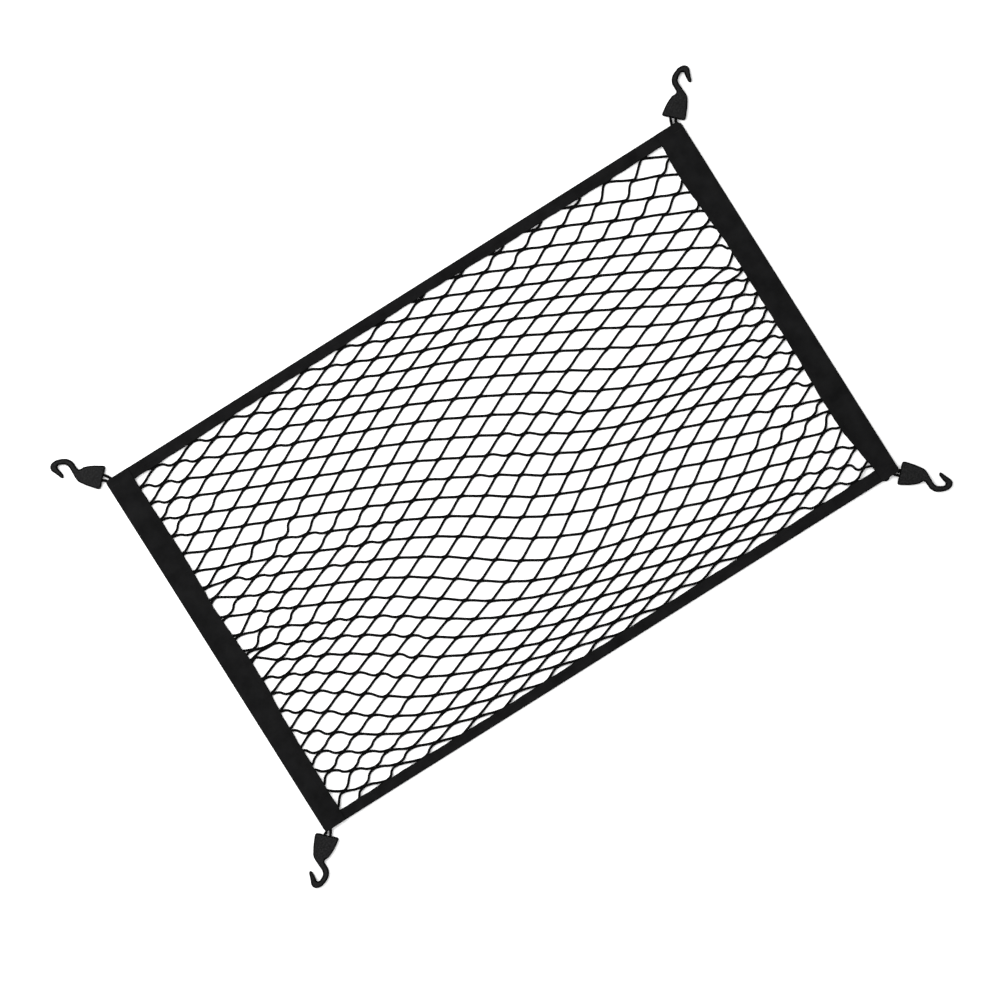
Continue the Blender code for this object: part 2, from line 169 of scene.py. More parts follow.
SLIDES = (
    Slide(0, -8, 0, -34, 6.0, 5.4), Slide(1, -16, 0, -16, 8.0, 5.5),
    Slide(7, 1, 0, -12, 7.0, 4.5), Slide(-2, 14, 0, 12, 8.0, 6.5),
    Slide(13, 10, 0, -20, 4.5, 6.0), Slide(-14, -8, 0, 10, 4.0, 4.5),
    Slide(-8, -15, 0, -14, 4.0, 5.0), Slide(8, -12, 0, -9, 3.5, 4.5),
    Slide(-10, -16, -27, 0, 6.0, 6.5), Slide(-2, -16, -10, 0, 4.5, 6.0),
    Slide(-7, -21, -9, 0, 4.0, 4.0), Slide(11, 13, 16, 0, 6.0, 8.0),
    Slide(3, 0, -11, 0, 4.5, 5.0), Slide(13, -1, 14, 0, 3.5, 5.0),
    Slide(11, -18, 12, 0, 5.0, 6.5), Slide(-3, -7, -11, 0, 5.0, 3.5),
    Slide(-14, 0, 8, 0, 3.0, 4.0), Slide(-7, 14, -4, 0, 6.0, 6.0),
    Slide(2, -9, 0, -6, 9.0, 9.0), Slide(4, 16, 0, -5, 6.0, 3.0),
    Slide(-10, 20, 0, 4, 5.0, 2.5), Slide(-14, 8, 0, -5, 3.0, 2.5),
    Slide(-2, 8, 0, 3.5, 3.5, 3.0), Slide(14, 4, 0, -5, 2.5, 6.0),
    Slide(-7, -12, -8, 0, 2.5, 2.5), Slide(-10, -20, -5, 0, 3.0, 3.0),
    Slide(5, -3, -4.5, 0, 4.0, 4.0), Slide(-9, 3, 4.5, 0, 3.0, 3.0),
    Slide(14, 9, 5.5, 0, 2.0, 6.0), Slide(12, 20, -3.5, 0, 3.0, 2.5),
    Slide(7, -8, 0, 4, 4.5, 3.5), Slide(1, -2, 0, -5, 3.0, 1.8),
    Slide(-3, -14, 0, -3.5, 3.0, 3.0), Slide(-8, 4, 0, -4, 2.5, 2.5),
    Slide(-13, -20, 0, -8, 1.8, 2.0), Slide(3, -20, 0, 4.5, 5.0, 2.5),
    Slide(8, 13, 0, -3, 2.5, 3.0), Slide(13, -13, 0, 3.5, 2.0, 3.0),
    Slide(-5, -10, -4.5, 0, 2.5, 2.0), Slide(6, 3, -4, 0, 2.0, 2.5),
    Slide(-11, 1, -4, 0, 2.5, 2.0), Slide(13, -9, -4, 0, 1.8, 2.5),
    Slide(9, -13, 3, 0, 2.5, 2.5), Slide(13, 11.5, 3.2, 3, 2.4, 2.2),
    Slide(2, 12.5, 2.4, 2.6, 2.2, 2.4), Slide(1.3, 3.5, 2.4, 1.5, 2.4, 4.0),
    Slide(-12, 17, -3, 2.2, 2.4, 2.4), Slide(-11, 6.5, 7.0, -3.4, 2.2, 1.4),
    Slide(10, -15.6, 2.4, -4, 1.8, 1.8), Slide(4, 18, 4, 0, 2.4, 3.0),
    Slide(9.5, -7.5, -2.8, 0, 3.2, 3.4), Slide(14.3, 4, -6.5, 0, 0.9, 7.0),
    Slide(-13.5, -17.3, 0, -4, 1.8, 1.6), Slide(11, 17, 0, -3.4, 2.6, 2.4),
    Slide(11, 2, 4.4, 0, 2.0, 2.6), Slide(13.5, -4, -4.4, 0, 1.6, 1.2),
    Slide(13.5, -13.3, 4.4, 0, 1.6, 1.6), Slide(-12, 15, -3.2, 2.6, 2.2, 2.4),
    Slide(-11, -2.8, 0, -3.8, 1.8, 1.8), Slide(9, 5, 0, -3.4, 2.5, 2.0),
)

# Single knots that have been tugged out of line.
TUGS = (
    Slide(-14, -1, 2.5, -6), Slide(-14, -3, 1, 9), Slide(-14, 1, -1, -5), Slide(-14, 5, 1, 5.5),
    Slide(-13, 6, 3.3, 4.4), Slide(13, 14, 5.5, -3.8), Slide(13, 8, 3, -6.3), Slide(14, 7, -1, -6),
    Slide(13, -6, 6, -1.8), Slide(13, -8, 5, 3), Slide(14, -13, -5, 6), Slide(14, -15, -2, 6),
    Slide(14, -19, -10, -4), Slide(11, 20, -3, 6), Slide(13, 20, -4, 7), Slide(13, 18, 0, 2.6),
    Slide(12, 19, -2, 1.5), Slide(15, -18, 0, 5), Slide(15, -20, 0, -6),
    Slide(-13, -18, 0.5, -4.2), Slide(-14, -19, 0, -9),
)

SLACKS = (
    Slack(-14, 4, 0.02, 3.0, 18.0),
    Slack(14, 0, 0.02, 3.5, 20.0),
    Slack(0, 19, 0.02, 14.0, 4.0),
    Slack(13.5, 11.5, 0.5, 0.6, 0.6),
    Slack(13.5, -2.5, 0.5, 0.6, 0.6),
    Slack(-13.5, 0.5, 0.3, 0.6, 0.6),
    Slack(-12.5, 6.5, 0.3, 0.6, 0.6),
)

LEFT_PULLS = (
    Pull(270, 0.6), Pull(160, 2.0), Pull(110, 0.6), Pull(60, -1.4), Pull(10, 0.2),
    Pull(-35, 3.0), Pull(-80, 2.8), Pull(-130, -1.0), Pull(-180, -2.0), Pull(-280, -3.0),
)
RIGHT_PULLS = (
    Pull(285, 4.0), Pull(240, 6.4), Pull(205, 5.4), Pull(175, 2.8), Pull(110, -0.4),
    Pull(10, 0.4), Pull(-80, 1.0), Pull(-155, 3.4), Pull(-210, 3.0), Pull(-245, -1.6),
    Pull(-285, -7.0),
)
BACK_PULLS = (
    Pull(-440, 1.8), Pull(-300, 0.6), Pull(-130, 0.2), Pull(45, -0.4), Pull(185, 1.3),
    Pull(300, 1.4), Pull(380, 2.5), Pull(440, 1.5),
)
FRONT_PULLS = (
    Pull(-440, -0.8), Pull(-400, -0.7), Pull(-200, -2.0), Pull(-20, -1.1), Pull(120, -0.3),
    Pull(260, 0.3), Pull(360, 1.4), Pull(440, 2.2),
)

RIGHT_NICKS = (Nick(305, 3.8, 3.6), Nick(-305, 3.0, 1.0))
LEFT_NICKS = (Nick(305, 3.0, 1.2), Nick(-305, 3.0, 1.2))
FRONT_NICKS = (Nick(476.4, 4.6, -3.2),)

# Marks a point of the outline that is no corner.
ROUND = False
HOOK_OUTLINE = (
    HookPoint(7.4, -10.0),
    HookPoint(11.4, -12.3, ROUND),
    HookPoint(15.2, -9.8),
    HookPoint(24.6, 1.6),
    HookPoint(31.8, 12.2),
    HookPoint(33.2, 16.4),
    HookPoint(33.3, 22.0),
    HookPoint(32.6, 38.5),
    HookPoint(34.3, 43.8, ROUND),
    HookPoint(40.2, 48.1, ROUND),
    HookPoint(45.4, 49.8, ROUND),
    HookPoint(47.6, 47.4, ROUND),
    HookPoint(46.7, 43.4),
    HookPoint(45.6, 33.4),
    HookPoint(48.7, 29.8, ROUND),
    HookPoint(51.4, 32.6),
    HookPoint(54.6, 41.4, ROUND),
    HookPoint(57.6, 49.8, ROUND),
    HookPoint(55.6, 55.0, ROUND),
    HookPoint(49.4, 58.1, ROUND),
    HookPoint(38.5, 56.6, ROUND),
    HookPoint(28.0, 50.4, ROUND),
    HookPoint(23.5, 42.4),
    HookPoint(23.4, 30.6),
    HookPoint(22.2, 28.5),
    HookPoint(18.0, 27.7, ROUND),
    HookPoint(15.0, 28.3),
    HookPoint(4.0, 23.8, ROUND),
    HookPoint(-10.2, 15.0),
    HookPoint(-13.2, 11.4, ROUND),
    HookPoint(-11.2, 8.6),
)

CORNERS = (
    Corner("back_right", 1, 1, None, 495.4, 312.9, 493.8, 486.8),
    Corner("back_left", -1, 1, "Y", 500.6, 312.2, 497.6, 490.2),
    Corner("front_right", 1, -1, "X", 499.2, 308.6, 497.2, 489.8),
    Corner("front_left", -1, -1, "Z", 501.6, 311.0, 498.6, 491.4),
)

OUT = Vector((1, 1)).normalized()
ACROSS = Vector((-1, 1)).normalized()


class Slot(Enum):
    """Material slots of the record."""

    STRAND = "net_strand"
    WEBBING = "webbing"
    PLASTIC = "hook_plastic"
    CORD = "loop_cord"


# --- Small helpers ---


def smooth(amount: np.ndarray) -> np.ndarray:
    """An even rise from 0 to 1, held at both ends."""
    held = np.clip(amount, 0.0, 1.0)
    return held * held * (3 - 2 * held)


def ramp(value: np.ndarray, start: float, end: float) -> np.ndarray:
    """A straight rise from 0 at start to 1 at end."""
    return np.clip((value - start) / (end - start), 0.0, 1.0)


def nearness(row: Slide | Slack, u: np.ndarray, v: np.ndarray) -> np.ndarray:
    """How strongly a row of a table acts at places in the net, from 0 to 1."""
    return np.exp(-((u - row.u) / row.reach_u) ** 2 - ((v - row.v) / row.reach_v) ** 2)


def pulled(pulls: Sequence[Pull], along: np.ndarray) -> np.ndarray:
    """A band's unevenness, eased between the rows of its table.

    Args:
        pulls: the band's table.
        along: places along the band, in millimetres.

    Returns:
        How far the inner edge is drawn in over the net at each place.
    """
    places, values = np.array(sorted(pulls)).T
    after = np.clip(np.searchsorted(places, along), 1, len(places) - 1)
    share = smooth((along - places[after - 1]) / (places[after] - places[after - 1]))
    return values[after - 1] + share * (values[after] - values[after - 1])


def side_band_rise(along: np.ndarray) -> np.ndarray:
    """How far a side band is lifted towards the end band that it is tucked into."""
    return SIDE_BAND_LIFT * ramp(np.abs(along), LIFT_START, LIFT_END)


def end_band_thickness(along: np.ndarray) -> np.ndarray:
    """An end band opens towards its ends, where the side bands are tucked in."""
    opened = ramp(np.abs(along), POCKET_START, POCKET_END)
    return END_BAND_THICKNESS + (CORNER_THICKNESS - END_BAND_THICKNESS) * opened


def net_layer(x: np.ndarray, y: np.ndarray) -> tuple[np.ndarray, np.ndarray]:
    """The heights of the net's lower and upper side: on the surface, and up into the folds.

    Args:
        x: places along the net's length from its middle, in millimetres.
        y: places across the net from its middle, in millimetres.

    Returns:
        The lower and the upper height at each place, in millimetres.
    """
    near_side = smooth(1 - (FIELD_Y - RISE_FLAT - np.abs(y)) / RISE_RUN)
    near_end = smooth(1 - (FIELD_X - RISE_FLAT - np.abs(x)) / RISE_RUN)
    in_side_band = SIDE_TAPE + GAP + side_band_rise(x)
    lower = np.maximum(near_side * in_side_band, near_end * (END_TAPE + GAP))
    thickness = NET_THICKNESS + (PINCHED - NET_THICKNESS) * np.maximum(near_side, near_end)
    return lower, lower + thickness


def net_middle() -> Vector:
    """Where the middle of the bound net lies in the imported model, in metres."""
    left_low, left_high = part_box("end_band_left")
    _, right_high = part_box("end_band_right")
    return Vector(((left_low.x + right_high.x) / 2, (left_low.y + left_high.y) / 2, 0.0))


def make_mesh(name: str, points: np.ndarray, faces: Sequence[Sequence[int]] = (),
              edges: Sequence[Sequence[int]] = ()) -> bpy.types.Mesh:
    """A mesh in metres from points in millimetres.

    Args:
        name: the mesh's name.
        points: one row a point.
        faces: the corners of each face.
        edges: the ends of each loose edge.

    Returns:
        The mesh.
    """
    mesh = bpy.data.meshes.new(name)
    mesh.from_pydata((np.asarray(points) * MM).tolist(), edges, faces)
    mesh.validate()
    mesh.update()
    return mesh


def ring_faces(rings: int, around: int) -> list[tuple[int, ...]]:
    """The faces that join rings of points, each ring closed and as long as the next.

    Args:
        rings: how many rings there are.
        around: how many points a ring has.

    Returns:
        The corners of each face.
    """
    return [
        (ring * around + spot, ring * around + (spot + 1) % around,
         (ring + 1) * around + (spot + 1) % around, (ring + 1) * around + spot)
        for ring in range(rings - 1) for spot in range(around)
    ]


@contextmanager
def edited(mesh: bpy.types.Mesh) -> Iterator[bmesh.types.BMesh]:
    """Opens a mesh for editing, and writes it back at the end."""
    form = bmesh.new()
    form.from_mesh(mesh)
    yield form
    form.to_mesh(mesh)
    form.free()


def put(name: str, data: bpy.types.ID) -> bpy.types.Object:
    """Links a new object to the scene."""
    made = bpy.data.objects.new(name, data)
    bpy.context.scene.collection.objects.link(made)
    return made


def taken(carrier: bpy.types.Object) -> bpy.types.Mesh:
    """The plain mesh that a helper object's modifiers or curve make. The helper is removed."""
    graph = bpy.context.evaluated_depsgraph_get()
    made = bpy.data.meshes.new_from_object(carrier.evaluated_get(graph))
    bpy.data.objects.remove(carrier)
    return made


def show(name: str, mesh: bpy.types.Mesh, finish: bpy.types.Material) -> bpy.types.Object:
    """Puts a mesh in the scene with one material."""
    piece = put(name, mesh)
    mesh.materials.clear()
    mesh.materials.append(finish)
    return piece


def settle(name: str, mesh: bpy.types.Mesh, finish: bpy.types.Material, slot: Slot,
           *nodes: str) -> bpy.types.Object:
    """Shows a piece, rides it on the net, and hides the solids that it stands for.

    Args:
        name: the piece's name.
        mesh: its finished mesh.
        finish: its material.
        slot: the record's material slot; not used.
        nodes: the solids that it replaces.

    Returns:
        The piece.
    """
    piece = show(name, mesh, finish)
    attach(piece, BODY)
    if nodes:
        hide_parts(*nodes)
    LOG.info("%s: %d faces", piece.name, len(piece.data.polygons))
    return piece


class NodeSketch:
    """Adds and joins the nodes of one tree."""

    def __init__(self, tree: bpy.types.NodeTree) -> None:
        """Starts on a tree."""
        self.tree = tree

    @classmethod
    def group(cls, name: str, kind: str, takes: dict[str, str],
              gives: dict[str, str]) -> NodeSketch:
        """Starts a node group with its sockets.

        Args:
            name: the group's name.
            kind: what it works on, Shader or Geometry.
            takes: each input's name and type.
            gives: each output's name and type.

        Returns:
            The sketch of its tree.
        """
        tree = bpy.data.node_groups.new(name, f"{kind}NodeTree")
        for way, sockets in (("INPUT", takes), ("OUTPUT", gives)):
            for label, sort in sockets.items():
                tree.interface.new_socket(name=label, in_out=way, socket_type=f"NodeSocket{sort}")
        return cls(tree)

    def fill(self, node: bpy.types.Node, values: dict) -> None:
        """Sets a node's inputs, by name or number, to constants or to other nodes' sockets."""
        for key, value in values.items():
            if isinstance(value, bpy.types.NodeSocket):
                self.tree.links.new(value, node.inputs[key])
            else:
                node.inputs[key].default_value = value

    def add(self, kind: str, values: Optional[dict] = None, **settings: Any) -> bpy.types.Node:
        """Adds a node.

        Args:
            kind: the node's type.
            values: its inputs, as in fill.
            settings: the node's own properties.

        Returns:
            The node.
        """
        node = self.tree.nodes.new(kind)
        for key, value in settings.items():
            setattr(node, key, value)
        self.fill(node, values or {})
        return node

    def first(self, kind: str, values: Optional[dict] = None,
              **settings: Any) -> bpy.types.NodeSocket:
        """Adds a node and gives its first output."""
        return self.add(kind, values, **settings).outputs[0]

    def math(self, operation: str, *values: Any) -> bpy.types.NodeSocket:
        """Adds a Math node and gives its result."""
        return self.first("ShaderNodeMath", dict(enumerate(values)), operation=operation)

    def times(self, one: Any, other: Any) -> bpy.types.NodeSocket:
        """The product of two values."""
        return self.math("MULTIPLY", one, other)

    def plus(self, one: Any, other: Any) -> bpy.types.NodeSocket:
        """The sum of two values."""
        return self.math("ADD", one, other)

    def crossing(self, turned: Any, run: Any, pitch: Any) -> bpy.types.NodeSocket:
        """Two yarns that wind round a cord in opposite ways, as the product of their waves.

        Args:
            turned: the turn round the cord, times the number of yarns.
            run: the place along the cord.
            pitch: the length in which a yarn winds round once.

        Returns:
            The product, from -1 to 1.
        """
        phase = self.times(self.math("DIVIDE", run, pitch), TURN)
        return self.times(self.math("SINE", self.plus(turned, phase)),
                          self.math("SINE", self.math("SUBTRACT", turned, phase)))

    def noise(self, place: Any, scale: Any, detail: float,
              roughness: float = 0.5) -> bpy.types.NodeSocket:
        """A noise texture's value."""
        values = {"Vector": place, "Scale": scale, "Detail": detail, "Roughness": roughness}
        return self.add("ShaderNodeTexNoise", values).outputs["Fac"]

    def remap(self, value: Any, start: Any = 0.0, end: Any = 1.0, low: float = 0.0,
              high: float = 1.0) -> bpy.types.NodeSocket:
        """A value between start and end, brought to between low and high and held there."""
        return self.first("ShaderNodeMapRange", {
            "Value": value, "From Min": start, "From Max": end, "To Min": low, "To Max": high,
        })

    def mix(self, share: Any, one: Any, other: Any) -> bpy.types.NodeSocket:
        """One colour giving way to another."""
        values = {"Factor": share, 6: one, 7: other}
        return self.add("ShaderNodeMix", values, data_type="RGBA").outputs[2]

    def parts(self, vector: Any) -> Any:
        """The outputs X, Y and Z of a vector."""
        return self.add("ShaderNodeSeparateXYZ", {0: vector}).outputs

    def effect(self, tree: bpy.types.NodeTree, **values: Any) -> Any:
        """Adds a shader group, with its inputs by name, and gives its outputs."""
        return self.add("ShaderNodeGroup", values, node_tree=tree).outputs


# --- Shared effects ---


class SharedEffects:
    """Shader groups that more than one finish uses, each built once."""

    FINER: ClassVar[float] = 37.0
    PATCH_SHARE: ClassVar[float] = 0.65
    SPREAD: ClassVar[tuple[float, float]] = (0.35, 0.65)
    YARN_ROUND: ClassVar[float] = 0.5

    @staticmethod
    @cache
    def lint() -> bpy.types.NodeTree:
        """The group that varies a black cloth: faded patches, and a few pale fibres."""
        sketch = NodeSketch.group(
            "faded cloth", "Shader",
            {"Place": "Vector", "Deep": "Color", "Faded": "Color", "Patch": "Float"},
            {"Color": "Color", "Fibre": "Float"},
        )
        given = sketch.add("NodeGroupInput").outputs
        scale = sketch.math("DIVIDE", 1.0, given["Patch"])
        patches = sketch.noise(given["Place"], scale, detail=4.0, roughness=0.6)
        finer = sketch.times(scale, SharedEffects.FINER)
        fine = sketch.noise(given["Place"], finer, detail=2.0)
        blend = sketch.plus(sketch.times(patches, SharedEffects.PATCH_SHARE),
                            sketch.times(fine, 1 - SharedEffects.PATCH_SHARE))
        spread = sketch.remap(blend, *SharedEffects.SPREAD)
        colour = sketch.mix(spread, given["Deep"], given["Faded"])
        sketch.add("NodeGroupOutput", {"Color": colour, "Fibre": fine})
        return sketch.tree

    @staticmethod
    @cache
    def turned_edge() -> bpy.types.NodeTree:
        """The group that marks where a flat-lying piece turns down at its edges."""
        sketch = NodeSketch.group("turned edge", "Shader", {"Flat": "Float", "Steep": "Float"},
                                  {"Edge": "Float"})
        given = sketch.add("NodeGroupInput").outputs
        way = sketch.parts(sketch.add("ShaderNodeNewGeometry").outputs["Normal"])
        # The mask grows as the normal tilts away from upright: finishes paint shade by it, and the
        # plastic also roughens by it.
        mask = sketch.remap(sketch.math("ABSOLUTE", way["Z"]), given["Flat"], given["Steep"])
        sketch.add("NodeGroupOutput", {"Edge": mask})
        return sketch.tree

    @staticmethod
    @cache
    def braid() -> bpy.types.NodeTree:
        """The group that raises crossing yarns on a cord, from its own course."""
        sketch = NodeSketch.group(
            "crossing yarns", "Shader",
            {"Course": "Vector", "Pitch": "Float", "Yarns": "Float"},
            {"Height": "Float", "Groove": "Float"},
        )
        given = sketch.add("NodeGroupInput").outputs
        course = sketch.parts(given["Course"])
        turned = sketch.times(sketch.math("ARCTAN2", course["Y"], course["X"]), given["Yarns"])
        crossing = sketch.crossing(turned, course["Z"], given["Pitch"])
        height = sketch.math("POWER", sketch.math("ABSOLUTE", crossing),
                             SharedEffects.YARN_ROUND)
        # Groove: the hollows between the yarns, which the cord finish darkens as painted shade.
        groove = sketch.math("SUBTRACT", 1.0, height)
        sketch.add("NodeGroupOutput", {"Height": height, "Groove": groove})
        return sketch.tree


class Surface(NamedTuple):
    """What a finish works out: colour, roughness, and the relief's height."""

    colour: Any
    roughness: Any
    height: Any


@dataclass(frozen=True)
class Finish:
    """What all finishes of the net share: nearly black and dull, with a fine relief."""

    name: str
    deep: Rgb
    roughness: float
    relief: float
    bump: float
    gloss: float
    sheen: float = 0.0
    sheen_roughness: float = 0.6

    def surface(self, sketch: NodeSketch, place: bpy.types.NodeSocket) -> Surface:
        """Works out the surface of one kind of finish.

        Args:
            sketch: the material's tree.
            place: the place on the piece.

        Returns:
            The surface.
        """
        raise NotImplementedError

    def material(self) -> bpy.types.Material:
        """The finished material."""
        made = bpy.data.materials.new(self.name)
        made.use_nodes = True
        sketch = NodeSketch(made.node_tree)
        place = sketch.add("ShaderNodeTexCoord").outputs["Object"]
        surface = self.surface(sketch, place)
        bump = sketch.add("ShaderNodeBump", {
            "Strength": self.bump, "Distance": self.relief, "Height": surface.height,
        })
        sketch.fill(made.node_tree.nodes["Principled BSDF"], {
            "Base Color": surface.colour, "Roughness": surface.roughness,
            "Normal": bump.outputs[0], "Specular IOR Level": self.gloss,
            "Sheen Weight": self.sheen, "Sheen Roughness": self.sheen_roughness,
        })
        return made


@dataclass(frozen=True)
class ClothFinish(Finish):
    """Black polyester yarn that has faded in patches."""

    faded: Rgb = (0.0, 0.0, 0.0)
    patch: float = 0.02

    def lint(self, sketch: NodeSketch, place: bpy.types.NodeSocket) -> Any:
        """The cloth's colour and its fibres."""
        return sketch.effect(SharedEffects.lint(), Place=place, Deep=(*self.deep, 1),
                             Faded=(*self.faded, 1), Patch=self.patch)


@dataclass(frozen=True)
class CordFinish(ClothFinish):
    """Braided or knitted elastic cord: matt polyester yarn round a rubber core."""

    name: str = "net strand"
    deep: Rgb = (0.0006, 0.0006, 0.0006)
    faded: Rgb = (0.0020, 0.0020, 0.0021)
    roughness: float = 0.85
    relief: float = 0.0002
    bump: float = 0.8
    gloss: float = 0.03
    sheen: float = 0.008
    yarn_pitch: float = 0.0032
    yarns: float = 3.0
    # Painted shade in the grooves between yarns: its share, and its tone against the deep colour.
    groove_shade: float = 0.6
    groove_shade_tone: float = 0.4
    lint_height: float = 0.35

    def surface(self, sketch: NodeSketch, place: bpy.types.NodeSocket) -> Surface:
        """Crossing yarns with painted shade in the grooves between them, and lint over them."""
        course = sketch.add("ShaderNodeAttribute", attribute_name=COURSE).outputs["Vector"]
        braid = sketch.effect(SharedEffects.braid(), Course=course, Pitch=self.yarn_pitch,
                              Yarns=self.yarns)
        lint = self.lint(sketch, place)
        # Painted shade: the grooves between the yarns darken towards a fraction of the deep
        # colour.
        groove = (*(self.groove_shade_tone * part for part in self.deep), 1)
        shade = sketch.times(braid["Groove"], self.groove_shade)
        return Surface(
            sketch.mix(shade, lint["Color"], groove), self.roughness,
            sketch.plus(braid["Height"], sketch.times(lint["Fibre"], self.lint_height)),
        )


@dataclass(frozen=True)
class TapeFinish(ClothFinish):
    """Woven polyester tape: fine ribs across, and a dull black that has faded a little."""

    name: str = "webbing"
    deep: Rgb = (0.0030, 0.0030, 0.0031)
    faded: Rgb = (0.0068, 0.0068, 0.0070)
    # Painted shade: the colour that the tape darkens to where it turns down at its fold and edges.
    edge: Rgb = (0.0004, 0.0004, 0.0004)
    roughness: float = 0.9
    relief: float = 0.00012
    bump: float = 0.7
    gloss: float = 0.03
    sheen: float = 0.005
    rib_pitch: float = 0.0014
    yarn_pitch: float = 0.0007
    yarn_round: float = 0.6
    rib_height: float = 0.5
    patch: float = 0.025
    uneven: float = 0.06
    lint_height: float = 0.4
    flat: float = 0.86
    steep: float = 0.45

    def surface(self, sketch: NodeSketch, place: bpy.types.NodeSocket) -> Surface:
        """Ribs and yarns that follow the tape round its fold, and painted shade at its edges."""
        woven = sketch.parts(sketch.add("ShaderNodeUVMap", uv_map=TAPE_UV).outputs["UV"])
        rib = sketch.times(woven["Y"], TURN / self.rib_pitch)
        yarn = sketch.times(woven["X"], TURN / self.yarn_pitch)
        over = sketch.times(sketch.math("SINE", sketch.times(rib, 0.5)),
                            sketch.math("SINE", sketch.times(yarn, 0.5)))
        weave = sketch.math("POWER", sketch.math("ABSOLUTE", over), self.yarn_round)
        ribs = sketch.times(sketch.math("ABSOLUTE", sketch.math("SINE", rib)), self.rib_height)
        lint = self.lint(sketch, place)
        # Painted shade: where the tape turns down, its colour gives way to the darker edge colour.
        edge = sketch.effect(SharedEffects.turned_edge(), Flat=self.flat, Steep=self.steep)
        return Surface(
            sketch.mix(edge["Edge"], lint["Color"], (*self.edge, 1)),
            sketch.remap(lint["Fibre"], low=self.roughness - self.uneven,
                         high=self.roughness + self.uneven),
            sketch.plus(sketch.plus(weave, ribs), sketch.times(lint["Fibre"], self.lint_height)),
        )


@dataclass(frozen=True)
class PlasticFinish(Finish):
    """Moulded nylon: paler flecks in a grain on its flats, and painted shade on its turned edges.
    """

    name: str = "moulded plastic"
    deep: Rgb = (0.0040, 0.0040, 0.0041)
    fleck: Rgb = (0.0180, 0.0180, 0.0184)
    # Painted shade on the turned edges, which leaves the round hook a paler crest as a highlight.
    edge: Rgb = (0.0004, 0.0004, 0.0004)
    roughness: float = 0.55
    relief: float = 0.00012
    bump: float = 0.6
    gloss: float = 0.035
    grain: float = 0.0007
    coarse: float = 0.35
    fine: float = 1.6
    fleck_from: float = 0.42
    fleck_to: float = 0.72
    coarse_height: float = 1.5
    edge_rough: float = 0.15
    flat: float = 0.999
    steep: float = 0.88

    def surface(self, sketch: NodeSketch, place: bpy.types.NodeSocket) -> Surface:
        """A coarse grain that carries the flecks, and a fine one over it."""
        coarse = sketch.noise(place, self.coarse / self.grain, detail=3.0, roughness=0.65)
        fine = sketch.noise(place, self.fine / self.grain, detail=2.0)
        flecks = sketch.remap(coarse, self.fleck_from, self.fleck_to)
        colour = sketch.mix(flecks, (*self.deep, 1), (*self.fleck, 1))
        # Painted shade: the edges darken as they turn down, and also grow rougher.
        edge = sketch.effect(SharedEffects.turned_edge(), Flat=self.flat, Steep=self.steep)
        return Surface(
            sketch.mix(edge["Edge"], colour, (*self.edge, 1)),
            sketch.remap(edge["Edge"], low=self.roughness, high=self.roughness + self.edge_rough),
            sketch.plus(fine, sketch.times(coarse, self.coarse_height)),
        )


# --- Geometry node trees ---


